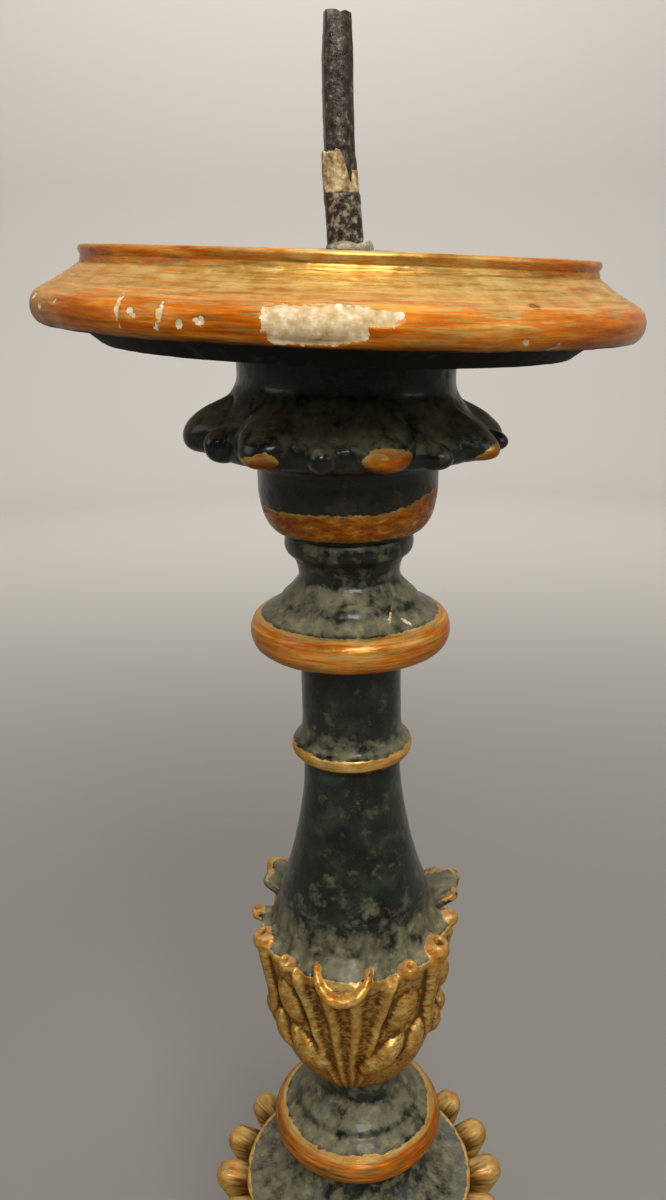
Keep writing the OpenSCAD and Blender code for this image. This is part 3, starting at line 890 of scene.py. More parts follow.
@dataclass
class Wear:
    """Age of a wooden skin, given for every point.

    leaf says how much gold leaf is left on the bole, from 0 to 1, and is raised in places for a painted
    highlight. gilt and loss are signed distances inside the gilding and inside chips down to the gesso.
    dust, and dirt with painted shade, add to what settles by itself.
    """

    leaf: Array | float
    gilt: Array
    loss: Array | None = None
    dust: Array | float = 0.0
    grime_and_shade: Array | float = 0.0
    seed: int = 3
    wave_mm: float = 0.18
    wave_cell: float = 9.0
    tremble_mm: float = 0.06
    tremble_cell: float = 2.5
    chip_mm: float = 0.45
    hollow_mm: float = 1.2
    hollow_passes: int = 14
    # Strength of the dirt and painted shade in the hollows
    hollow_shade_and_dirt: float = 0.75
    settling: float = 0.6
    patchy: float = 0.16

    def apply(self, skin: Skin) -> None:
        """Writes the skin's marks and its slight hand-made unevenness.

        Dust follows the upward share of the normal, and dirt with painted shade the hollows: places that
        lie below the mean of their neighbours.

        Args:
            skin: The piece.
        """
        places = skin.places()
        wavy = self.wave_mm * fractal(places, self.wave_cell, self.seed)
        wavy = wavy + self.tremble_mm * fractal(places, self.tremble_cell, self.seed + 9)
        lost = np.full(skin.r.shape, UNCHIPPED) if self.loss is None else self.loss
        skin.push(wavy - self.chip_mm * smooth_step(-0.3, 0.6, lost))
        # Dirt and painted shade where a point lies below the mean of its neighbours
        hollow = np.clip((skin.blurred(skin.r, self.hollow_passes) - skin.r) / self.hollow_mm, 0, 1)
        settled = self.settling * smooth_step(0.1, 0.95, skin.up())
        settled = settled + self.patchy * fractal(places, 25, self.seed + 5)
        skin.marks = {
            "gilt": self.gilt + 0 * skin.r,
            "leaf": self.leaf + self.patchy * fractal(places, 20, self.seed + 4) + 0 * skin.r,
            "loss": lost,
            "dust": settled + self.dust,
            "grime_and_shade": self.hollow_shade_and_dirt * hollow + self.grime_and_shade,
        }


def tenon_foot(seat: float, radius: float, length: float, seat_r: float) -> list[Point]:
    """Hidden rows from the axis round a tenon and out to the edge of the seat above it."""
    return [(0, seat - length), (radius, seat - length), (radius, seat), (seat_r - SEAT_INSET, seat)]


def socket_head(top: float, radius: float, length: float, top_r: float) -> list[Point]:
    """Hidden rows from the edge of a top face in to its bore, down it and in to the axis."""
    return [(top_r - SEAT_INSET, top), (radius, top), (radius, top - length), (0, top - length)]


@dataclass
class Joinery:
    """Sizes of the hidden tenons that hold the turned pieces together."""

    tenon_r: float = 9.0
    tenon_l: float = 16.0
    spigot_r: float = 32.0
    spigot_l: float = 10.0
    gap: float = 0.1
    end_gap: float = 0.6

    def tenon(self, seat: float, seat_r: float) -> list[Point]:
        """Foot rows with the stem's own tenon."""
        return tenon_foot(seat, self.tenon_r, self.tenon_l, seat_r)

    def socket(self, top: float, top_r: float) -> list[Point]:
        """Head rows with the bore for that tenon."""
        return socket_head(top, self.tenon_r + self.gap, self.tenon_l + self.end_gap, top_r)


def disc(low: Point, high: Point, rim_r: float, rim_h: float, rim_z: float) -> tuple[Array, float, float]:
    """Outline of a disc with a rounded rim between two necks.

    Args:
        low: Radius and height where the lower neck starts.
        high: Radius and height where the slope ends.
        rim_r: Radius over the rim.
        rim_h: Thickness of the rim.
        rim_z: Height of the rim's middle.

    Returns:
        The outline, and its length at the rim's lower and upper edge.
    """
    swell = rim_h / 3
    under, over = (rim_r - swell, rim_z - rim_h / 2), (rim_r - swell, rim_z + rim_h / 2)
    below = np.vstack([np.array([low]), quarter(low, under, Start.UPRIGHT)])
    line = np.vstack([below, roll(under, over, swell)])
    return np.vstack([line, flare(over, high, DISC_SLOPE)]), length_of(below), length_of(line)


@dataclass
class Foot:
    """Plinth, bell and collar that the stem stands on."""

    joinery: Joinery
    finish: bpy.types.Material
    plinth_r: float = 94.0
    plinth_edge_h: float = 14.0
    plinth_swell: float = 4.0
    plinth_top_r: float = 81.0
    plinth_columns: int = 560
    plinth_chips: tuple[Patch, ...] = (
        Patch(-24, 9, 7, 2.4), Patch(41, 12, 4, 2), Patch(118, 7, 9, 3), Patch(-140, 10, 6, 2.2),
        Patch(172, 13, 5, 2))
    bell_r: float = 72.0
    bell_roll_h: float = 13.0
    bell_roll_swell: float = 5.0
    bell_sweep_r: float = 64.0
    bell_neck_r: float = 26.0
    bell_bead_h: float = 9.0
    bell_bead_swell: float = 4.5
    bell_lip_h: float = 5.0
    bell_columns: int = 480
    roll_chips: tuple[Patch, ...] = (Patch(12, 8, 5, 1.8), Patch(-75, 10, 7, 2.5), Patch(150, 9, 5, 2))
    bead_chip: Patch = Patch(88, 6, 3, 1.6)
    collar_rim_r: float = 40.0
    collar_rim_h: float = 12.0
    collar_rim_z: float = 14.0
    collar_neck_r: float = 23.0
    collar_columns: int = 360

    def build(self) -> None:
        """Builds the three turned pieces, from the table up."""
        self.plinth()
        self.bell()
        self.collar()

    def plinth(self) -> None:
        """Disc with a rolled gilt edge and a cove up to its top."""
        j, top, r = self.joinery, top_of("base_plinth"), self.plinth_r
        edge = np.vstack([[(r, 0)], roll((r, 0), (r, self.plinth_edge_h), self.plinth_swell)])
        cove = quarter((r, self.plinth_edge_h), (self.plinth_top_r, top), Start.LEVEL)
        bore = socket_head(top, j.spigot_r + j.gap, j.spigot_l + j.end_gap, self.plinth_top_r)
        bore.insert(1, (self.bell_r, top))
        under = [(0, 0), (r / 2, 0), (r - FACE_INSET, 0)]
        skin = Skin(np.vstack([edge, cove]), self.plinth_columns, under, bore)
        # Darker towards the bottom edge
        Wear(leaf=0.42, gilt=skin.band(1.0, length_of(edge), seed=31), loss=within(skin, self.plinth_chips),
             dust=0.05, grime_and_shade=0.5 * smooth_step(4, 0, skin.arc), seed=33).apply(skin)
        place_piece(skin.build("plinth"), "base_plinth", self.finish)

    def bell(self) -> None:
        """Roll, concave sweep and bead, painted, with the roll and the bead gilt."""
        j, seat, top = self.joinery, top_of("base_plinth"), top_of("base_bell")
        r, neck = self.bell_r, self.bell_neck_r
        roll_top = seat + self.bell_roll_h
        bead_top = top - self.bell_lip_h
        bead_low = bead_top - self.bell_bead_h
        girdle = np.vstack([[(r, seat)], roll((r, seat), (r, roll_top), self.bell_roll_swell)])
        sweep = np.vstack([girdle, [(self.bell_sweep_r, roll_top)],
                           quarter((self.bell_sweep_r, roll_top), (neck, bead_low), Start.LEVEL)])
        beaded = np.vstack([sweep, roll((neck, bead_low), (neck, bead_top), self.bell_bead_swell)])
        girth, start, end = length_of(girdle), length_of(sweep), length_of(beaded)
        skin = Skin(np.vstack([beaded, [(neck, top)]]), self.bell_columns,
                    tenon_foot(seat, j.spigot_r, j.spigot_l, r), j.socket(top, neck), spacing=0.8)
        gilt = np.maximum(skin.band(0.5, girth, seed=41), skin.band(start - 0.5, end + 0.5, seed=42))
        chips = np.maximum(within(skin, self.roll_chips), self.bead_chip.inside(skin, start))
        # Darker towards the foot of the bell
        Wear(leaf=0.38, gilt=gilt, loss=chips, dust=0.08, grime_and_shade=0.45 * smooth_step(3, 0, skin.arc),
             seed=43).apply(skin)
        place_piece(skin.build("bell"), "base_bell", self.finish)

    def collar(self) -> None:
        """Disc with a gilt rim between two necks."""
        seat, top = top_of("base_bell"), top_of("base_collar")
        line, low, high = disc((self.bell_neck_r, seat), (self.collar_neck_r, top), self.collar_rim_r,
                               self.collar_rim_h, seat + self.collar_rim_z)
        skin = Skin(line, self.collar_columns, self.joinery.tenon(seat, self.bell_neck_r),
                    self.joinery.socket(top, self.collar_neck_r))
        Wear(leaf=0.36, gilt=skin.band(low - 1, high, seed=51), dust=0.1, seed=53).apply(skin)
        place_piece(skin.build("collar"), "base_collar", self.finish)


@dataclass
class FlutedCup:
    """Cup with gilt fingers carved round its outside and a painted shoulder."""

    joinery: Joinery
    finish: bpy.types.Material
    foot_r: float = 25.0
    rim_r: float = 51.0
    rim_z: float = 76.0
    shoulder_r: float = 47.0
    neck_r: float = 22.0
    flare_power: float = 0.8
    tip_r: float = 6.6
    root_r: float = 3.6
    ring_r: float = 58.0
    rise: float = 2.0
    root_z: float = 20.0
    lift: float = 1.0
    carve_reach: float = 18.0
    columns: int = 480
    fingers: Ring = Ring.even(18, 10.0, 0.9, 5)

    def finger_distance(self, places: Array) -> Array:
        """Signed distance to the fingers: rods that lean out along the cup, each a little higher or lower.

        Args:
            places: Points as x, y and z.

        Returns:
            Distance in millimetres, negative inside.
        """
        local, index = self.fingers.fold(places)
        lift = np.random.default_rng(6).uniform(-self.lift, self.lift, len(self.fingers.turns))
        local = local - np.stack([0 * index, 0 * index, lift[index]], axis=-1)
        share = (self.root_z / self.rim_z) ** self.flare_power
        seat = top_of("base_collar")
        root = np.array([0, self.foot_r + (self.rim_r - self.foot_r) * share, seat + self.root_z])
        tip = np.array([0, self.ring_r, seat + self.rim_z + self.rise - self.tip_r])
        return rod_distance(local, root, tip, self.root_r, self.tip_r)

    def build(self) -> None:
        """Builds the cup, with the fingers carved out of it."""
        seat, top = top_of("base_collar"), top_of("fluted_cup")
        foot, rim, shoulder = (self.foot_r, seat), (self.rim_r, seat + self.rim_z), self.shoulder_r
        side = np.vstack([[foot], flare(foot, rim, self.flare_power)])
        line = np.vstack([side, [(shoulder, rim[1])],
                          quarter((shoulder, rim[1]), (self.neck_r, top), Start.LEVEL)])
        skin = Skin(line, self.columns, self.joinery.tenon(seat, self.foot_r),
                    self.joinery.socket(top, self.neck_r), spacing=0.62, edge=1.2, fan=7.0)
        depth = skin.carve(self.finger_distance, self.carve_reach)
        arc, rim_arc = skin.arc, length_of(side)
        gilt = np.maximum(rim_arc + 2.0 - arc, 1.2 * (depth - 1.2))
        tips = smooth_step(rim[1] - 4, rim[1], skin.z) * smooth_step(2, 5, depth)
        # Painted shade in the grooves between the fingers below the rim: darker, with less leaf
        groove = smooth_step(2.5, 0, depth) * smooth_step(rim_arc + 1, rim_arc - 4, arc)
        film = 0.12 * (arc > rim_arc + 2) - 0.05 + 0.15 * tips
        Wear(leaf=0.92 - 0.12 * tips - 0.4 * groove, gilt=gilt, dust=film, grime_and_shade=0.8 * groove,
             seed=63).apply(skin)
        place_piece(skin.build("fluted_cup_carved", stretch=2), "fluted_cup", self.finish)


@dataclass
class Knop:
    """Turned disc with a gilt rim, a dusty painted slope and a neck, and maybe a band on top."""

    joinery: Joinery
    finish: bpy.types.Material
    name: str
    node: str
    below: str
    foot_r: float
    rim_r: float
    rim_h: float
    rim_z: float
    neck_r: float
    neck_z: float
    top_r: float
    leaf: float
    ring_w: float
    seed: int
    band_h: float = 0.0
    ring_dust: float = 0.0
    # Painted shade over the rim below its pale ring
    rim_shade: float = 0.0
    scuffs: tuple[Patch, ...] = ()
    groove_h: float = 0.22
    groove_arc: float = 8.0
    swell_arc: float = 11.0
    columns: int = 400

    def outline(self) -> tuple[Array, float, float]:
        """Outline from the seat up.

        Returns:
            The outline, and its length at the rim's lower and upper edge.
        """
        seat, top = top_of(self.below), top_of(self.node)
        neck = (self.neck_r, seat + self.neck_z)
        line, low, high = disc((self.foot_r, seat), neck, self.rim_r, self.rim_h, seat + self.rim_z)
        if not self.band_h:
            return np.vstack([line, [(self.top_r, top)]]), low, high
        edge = self.band_h / 6
        start, end = (self.top_r - edge, top - self.band_h), (self.top_r - edge, top)
        return np.vstack([line, quarter(neck, start, Start.UPRIGHT), roll(start, end, edge)]), low, high

    def wear(self, skin: Skin, low: float, high: float) -> Wear:
        """Gilt rim with a pale ring along its upper edge, a painted highlight in front and painted shade
        below, and a dusty slope that is dark in places.

        Args:
            skin: The turned knop.
            low: Length along the outline at the rim's lower edge.
            high: The same at its upper edge.

        Returns:
            The knop's age.
        """
        arc, middle, ring_end = skin.arc, (low + high) / 2, high + self.ring_w
        pale = smooth_step(high - 2.0, high + 0.3, arc)
        slope = smooth_step(ring_end, ring_end + 2, arc)
        # Painted highlight: more leaf in the middle of the rim, at the front
        painted_sheen = hump(arc, middle + 2.0, 2.0) * hump(np.degrees(skin.turn), 5, 34)
        inky = smooth_step(-0.25, 0.35, fractal(skin.places(), 26, self.seed + 7))
        inky = inky * hump(arc, high + 9.0, 2.5)
        gilt = skin.band(low - 1.5, ring_end, wave=0.8, seed=self.seed)
        gilt = gilt + self.ring_w * skin.sway(22, self.seed) * (arc > middle)
        dust = self.ring_dust * pale * (1 - slope) + 0.2 * slope - 0.3 * inky - 0.3 * (1 - slope)
        # Painted shade under the rim's lower edge, and painted shade over the rest of the rim
        grime_and_shade = 0.6 * smooth_step(low + 2.5, low - 1.5, arc) + self.rim_shade * (1 - pale)
        chips = within(skin, self.scuffs, high) if self.scuffs else None
        return Wear(leaf=self.leaf + 0.25 * painted_sheen + 0.75 * pale, gilt=gilt, loss=chips, dust=dust,
                    grime_and_shade=grime_and_shade, seed=self.seed + 2)

    def build(self) -> None:
        """Builds the knop, with a soft turned ring on its slope."""
        line, low, high = self.outline()
        skin = Skin(line, self.columns, self.joinery.tenon(top_of(self.below), self.foot_r),
                    self.joinery.socket(top_of(self.node), line[-1][0]), spacing=0.5, edge=1.4)
        groove = hump(skin.arc, high + self.groove_arc, 1.2)
        swell = hump(skin.arc, high + self.swell_arc, 1.6)
        skin.push(-self.groove_h * (groove - swell) * (skin.arc > high))
        self.wear(skin, low, high).apply(skin)
        place_piece(skin.build(self.name, stretch=9), self.node, self.finish)


@dataclass(frozen=True)
class Curl:
    """A small curled leaf tip: its turn, reach and height above the calyx's seat, and its radius."""

    turn: float
    reach: float
    level: float
    r: float


@dataclass(frozen=True)
class Lip:
    """The large tip of a leaf: its turn, height above the calyx's seat and how steeply it hangs."""

    turn: float
    level: float
    droop: float


@dataclass(frozen=True)
class Lobe:
    """A domed oval on each side of a leaf: its place beside the leaf's middle and above the seat."""

    mid_u: float
    mid_v: float
    half_u: float
    half_v: float
    lean: float
    height: float

    def dome(self, u: Array, v: Array) -> Array:
        """Height of the oval's dome: a power of what is left of 1 after the squares of its two shares.

        Args:
            u: Distance beside the leaf's middle.
            v: Height above the seat.

        Returns:
            Millimetres, 0 outside the oval.
        """
        side = math.radians(self.lean)
        across = (u - self.mid_u) * math.cos(side) - (v - self.mid_v) * math.sin(side)
        along = (u - self.mid_u) * math.sin(side) + (v - self.mid_v) * math.cos(side)
        left = 1 - (across / self.half_u) ** 2 - (along / self.half_v) ** 2
        return self.height * np.clip(left, 0, 1) ** 0.6


@dataclass
class LeafCalyx:
    """Bulb of three large carved leaves with curled tips, gilt outside, painted and dusty on its top."""

    joinery: Joinery
    finish: bpy.types.Material
    foot_r: float = 18.0
    bowl_r: float = 34.5
    bowl_z: float = 42.0
    shoulder_r: float = 38.5
    shoulder_z: float = 66.0
    top_r: float = 29.5
    lip_half_w: float = 10.0
    lip_l: float = 11.5
    lip_r: float = 2.2
    lip_root: float = 34.5
    back_wave: float = 0.11
    back_waves: int = 6
    tongue: tuple[float, float, float] = (0.0, 2.5, -1.6)
    tongue_share: float = 0.8
    tongue_t: float = 3.0
    root_r: float = 30.0
    flute_w: float = 11.5
    flute_h: float = 1.4
    flute_growth: float = 2.2
    fan_low: float = 0.22
    wobble: float = 1.4
    spine_u: float = 36.0
    spine_h: float = 4.2
    ground: float = 0.8
    dish_r: float = 31.6
    dish_z: float = 67.0
    carve_reach: float = 16.0
    columns: int = 450
    lips: tuple[Lip, ...] = (Lip(-9, 69.0, 52), Lip(113, 70, -20), Lip(-132, 70, -18))
    curls: tuple[Curl, ...] = (
        Curl(-45.5, 41.5, 66.5, 3.5), Curl(32, 41.5, 66.5, 3.8), Curl(-72, 43, 67.0, 4.7),
        Curl(57, 43, 67.0, 5.4), Curl(-97, 43, 67.5, 3.2), Curl(89, 42.5, 67.0, 3.6),
        Curl(150, 42, 67.0, 3.8), Curl(-168, 42, 67.0, 3.6), Curl(172, 43, 67.0, 4.8))
    lobes: tuple[Lobe, ...] = (
        Lobe(22.5, 47, 6.2, 10.5, 24, 4.6), Lobe(15.5, 26, 6.2, 12.5, 46, 5.2),
        Lobe(29.5, 29, 5.4, 10.0, 26, 4.8))

    def lip_frame(self, places: Array) -> tuple[Array, Array, Array, Array]:
        """Turns every point into the plane of its nearest large tip.

        Args:
            places: Points as x, y and z.

        Returns:
            Distances across the tip, along it and out of it, and the number of each point's tip.
        """
        local, index = Ring(tuple(lip.turn for lip in self.lips)).fold(places)
        level = np.array([lip.level for lip in self.lips])[index] + top_of("lower_knop")
        droop = np.radians([lip.droop for lip in self.lips])[index]
        out, up = local[..., 1] - self.lip_root, local[..., 2] - level
        along = out * np.cos(droop) - up * np.sin(droop)
        return local[..., 0], along, out * np.sin(droop) + up * np.cos(droop), index

    def curl_frame(self, places: Array) -> tuple[Array, Array, Array, Array]:
        """Turns every point into the frame of its nearest small tip.

        Args:
            places: Points as x, y and z.

        Returns:
            Points across, out and up from the tip's ball, the ball's distance from the fold's root, its
            radius, and the points' distance to the ball's middle.
        """
        local, index = Ring(tuple(curl.turn for curl in self.curls)).fold(places)
        reach, level, r = np.array([(c.reach, c.level, c.r) for c in self.curls]).T[:, index]
        middle = np.stack([0 * r, reach - r, level + top_of("lower_knop")], axis=-1)
        return local - middle, reach - r - self.root_r, r, np.linalg.norm(local - middle, axis=-1)

    def rim_distance(self, places: Array) -> Array:
        """Signed distance to the rims of the large tips, rods bent to half ellipses, wavy on the back ones.

        Args:
            places: Points as x, y and z.

        Returns:
            Distance in millimetres, negative inside.
        """
        across, along, off, index = self.lip_frame(places)
        ahead = np.maximum(along, 0)
        level = np.hypot(across / self.lip_half_w, ahead / self.lip_l)
        wave = self.back_wave * np.cos(self.back_waves * np.arctan2(across, ahead))
        gap = (level - 1 - np.where(index > 0, wave, 0)) * math.sqrt(self.lip_half_w * self.lip_l)
        thick = self.lip_r * (0.7 + 0.4 * smooth_step(0, self.lip_l, along))
        return np.sqrt(gap ** 2 + off ** 2 + np.minimum(along, 0) ** 2) - thick

    def curl_distance(self, places: Array) -> Array:
        """Signed distance to the small tips: folds that narrow to a ball with a dimple on top.

        Args:
            places: Points as x, y and z.

        Returns:
            Distance in millimetres, negative inside.
        """
        local, span, r, away = self.curl_frame(places)
        across, out, up = np.moveaxis(local, -1, 0)
        share = np.clip(1 + out / span, 0, 1)
        fold = np.sqrt(across ** 2 + (out - (share - 1) * span) ** 2 + (up + 1.5 * (1 - share)) ** 2)
        fold = fold - r * (1.25 - 0.35 * share)
        dimple = np.sqrt(across ** 2 + (out - 0.35 * r) ** 2 + (up - 0.95 * r) ** 2) - 0.5 * r
        return np.maximum(-smooth_max(-fold, r - away, 0.8), -dimple)

    def tip_distance(self, places: Array) -> Array:
        """Signed distance to all tips: rims, the tongues inside them, and small curls.

        Args:
            places: Points as x, y and z.

        Returns:
            Distance in millimetres, negative inside.
        """
        flat = np.stack(self.lip_frame(places)[:3], axis=-1)
        half = np.array([self.lip_half_w, self.tongue_share * self.lip_l, self.tongue_t])
        tongue = egg_distance(flat, np.array(self.tongue), half)
        lip = -smooth_max(-self.rim_distance(places), -tongue, 0.8)
        return -smooth_max(-lip, -self.curl_distance(places), 1.0)

    def relief(self, skin: Skin, seat: float) -> Array:
        """Height of the carved leaves on the bowl, over turn and height.

        Flutes follow a raised cosine of the distance from the leaf's middle and fan out upwards. Each lobe
        is a domed oval, and the small leaf between two large ones a round ridge.

        Args:
            skin: The bowl.
            seat: Height of the calyx's foot.

        Returns:
            Depth in millimetres for every point.
        """
        places = skin.places()
        local, _ = Ring(tuple(lip.turn for lip in self.lips)).fold(places)
        angle = np.arctan2(local[..., 0], local[..., 1])
        u, v = np.abs(angle * self.bowl_r + self.wobble * fractal(places, 18, 71)), local[..., 2] - seat
        share = np.clip(v / self.shoulder_z, 0, 1)
        fanned = u / (self.fan_low + (1 - self.fan_low) * share)
        depth = 0.5 - 0.5 * np.cos(2 * math.pi * fanned / self.flute_w)
        depth = (self.flute_h + self.flute_growth * share) * depth
        depth = depth * smooth_step(2.0 * self.flute_w, 1.6 * self.flute_w, fanned)
        ridge = np.sqrt(np.clip(1 - ((u - self.spine_u) / (1.5 + 2.5 * share)) ** 2, 0, 1))
        depth = smooth_max(depth, self.spine_h * ridge * smooth_step(18, 32, v), 0.8)
        for lobe in self.lobes:
            depth = smooth_max(depth, lobe.dome(u, v), 1.8)
        return depth - self.ground

    def folds(self, skin: Skin) -> Array:
        """Nearness to the folds that lead to the tips: bell curves of the distance across them.

        Args:
            skin: The bowl.

        Returns:
            Values from 0 to 1, one for each point.
        """
        widths = [(curl.turn, 4.0) for curl in self.curls] + [(lip.turn, 9.0) for lip in self.lips]
        near = [hump(Ring((turn,)).fold(skin.places())[0][..., 0], 0, width) for turn, width in widths]
        return np.maximum.reduce(near)

    def age(self, skin: Skin, relief: Array, near: Array, rim_arc: float, end_arc: float) -> None:
        """Crumples and gilds the tips, gilds the leaves, and lays dirt and painted shade in their hollows
        and dust on top.

        Args:
            skin: The carved calyx.
            relief: Height of the leaves.
            near: Nearness to the folds on top.
            rim_arc: Length along the outline at the shoulder.
            end_arc: Length of the outline.
        """
        arc, places = skin.arc, skin.places()
        _, _, r, away = self.curl_frame(places)
        noses = 1.15 * r - away
        worn = np.where(self.lip_frame(places)[-1] > 0, 0.3 - 1.8 * fractal(places, 7, 77), 0)
        rims = 0.4 - self.rim_distance(places) - worn
        gilt = np.maximum.reduce([rim_arc + 0.8 - arc + 0 * skin.r, noses, rims])
        tips = np.maximum(smooth_step(-1, 1.5, noses), smooth_step(-0.5, 0.6, rims))
        skin.push(0.45 * fractal(places, 3.0, 75) * tips)
        cavity = skin.blurred(relief, 16) - relief
        dish = smooth_step(rim_arc - 2, rim_arc + 4, arc)
        # Less leaf in the carved hollows, as painted shade
        leaf = 0.9 - 0.35 * smooth_step(-0.1, 1.3, cavity) - 0.35 * tips
        film = 0.45 * dish * smooth_step(end_arc + 1, end_arc - 9, arc) + 0.12 * dish - 0.35 * (1 - dish)
        # Dirt and painted shade in the carved hollows, and darker towards the foot
        outside = 1.4 * smooth_step(-0.9, 1.3, cavity) + 0.3 * smooth_step(16, 0, arc)
        on_top = 0.2 * (1 - near) * smooth_step(end_arc, end_arc - 9, arc)
        grime_and_shade = np.where(arc < rim_arc, outside * (1 - tips), on_top)
        # Cleaner along the shoulder, and painted shade inside the dimple of each small tip
        grime_and_shade = grime_and_shade - 1.2 * hump(arc, rim_arc, 3.0) + 0.6 * smooth_step(0.2, 0.6, noses / r)
        Wear(leaf=leaf, gilt=gilt, dust=film - 0.6 * tips, grime_and_shade=grime_and_shade, seed=73).apply(skin)

    def build(self) -> None:
        """Builds the bulb, then carves its leaves and their tips."""
        seat, top = top_of("lower_knop"), top_of("leaf_calyx")
        foot, shoulder = (self.foot_r, seat), (self.shoulder_r, seat + self.shoulder_z)
        bowl = np.vstack([[foot], quarter(foot, (self.bowl_r, seat + self.bowl_z), Start.LEVEL), [shoulder]])
        line = np.vstack([bowl, bend(shoulder, (self.dish_r, seat + self.dish_z), (self.top_r, top))])
        skin = Skin(line, self.columns, self.joinery.tenon(seat, self.foot_r),
                    self.joinery.socket(top, self.top_r), spacing=0.45, edge=1.2, fan=6.0)
        arc, rim_arc, end_arc = skin.arc, length_of(bowl), length_of(line)
        near = self.folds(skin)
        relief = self.relief(skin, seat) * smooth_step(0, 5, arc) * smooth_step(rim_arc + 1, rim_arc - 5, arc)
        web = (2.0 * near - 1.1) * smooth_step(rim_arc - 2, rim_arc + 4, arc)
        web = web * smooth_step(end_arc - 2, end_arc - 11, arc)
        scallop = (0.9 - 2.7 * (1 - near)) * hump(arc, rim_arc + 0.5, 3.5)
        skin.push(relief + web + scallop)
        skin.carve(self.tip_distance, self.carve_reach, blend=1.4)
        self.age(skin, relief, near, rim_arc, end_arc)
        place_piece(skin.build("calyx_leaves", stretch=1.5), "leaf_calyx", self.finish)


@dataclass
class VaseStem:
    """Painted vase, gilt ring and neck."""

    joinery: Joinery
    finish: bpy.types.Material
    foot_r: float = 29.5
    top_r: float = 18.5
    sweep_h: float = 58.0
    sweep_power: float = 1.85
    ring_r: float = 23.0
    bead_h: float = 5.5
    cove_h: float = 10.0
    neck_r: float = 18.8
    columns: int = 320

    def build(self) -> None:
        """Builds the vase and gilds the bead of its ring."""
        seat, top = top_of("leaf_calyx"), top_of("vase_stem")
        sweep_top = (self.top_r, seat + self.sweep_h)
        edge_r = self.ring_r - self.bead_h / 4
        low = (edge_r, sweep_top[1] + self.bead_h / 2)
        high = (edge_r, low[1] + self.bead_h)
        neck = (self.neck_r, high[1] + self.cove_h)
        sweep = np.vstack([flare(sweep_top, (self.foot_r, seat), self.sweep_power)[::-1], [sweep_top]])
        under = np.vstack([sweep, quarter(sweep_top, low, Start.UPRIGHT)])
        beaded = np.vstack([under, roll(low, high, self.bead_h / 4)])
        line = np.vstack([beaded, quarter(high, neck, Start.LEVEL), [(self.neck_r, top)]])
        skin = Skin(line, self.columns, self.joinery.tenon(seat, self.foot_r),
                    self.joinery.socket(top, self.neck_r))
        arc, start, end = skin.arc, length_of(under), length_of(beaded)
        leaf = 0.72 - 0.55 * smooth_step(start + 2.5, start - 1.5, arc)
        shade = smooth_step(start + 1, start - 2, arc) * smooth_step(start - 9, start - 3, arc)
        cove = smooth_step(end, end + 2, arc) * smooth_step(end + 12, end + 5, arc)
        dust = 0.12 * smooth_step(20, 0, arc) + 0.55 * cove - 0.12
        gilt = skin.band(start - 4.0, end - 1.0, wave=0.8, seed=81)
        Wear(leaf=leaf, gilt=gilt, dust=dust, grime_and_shade=0.45 * shade, seed=83).apply(skin)
        place_piece(skin.build("vase"), "vase_stem", self.finish)


@dataclass(frozen=True)
class Nose:
    """Gilding left on a lobe's nose: the radius of the patch and how far it sits to one side."""

    size: float
    aside: float


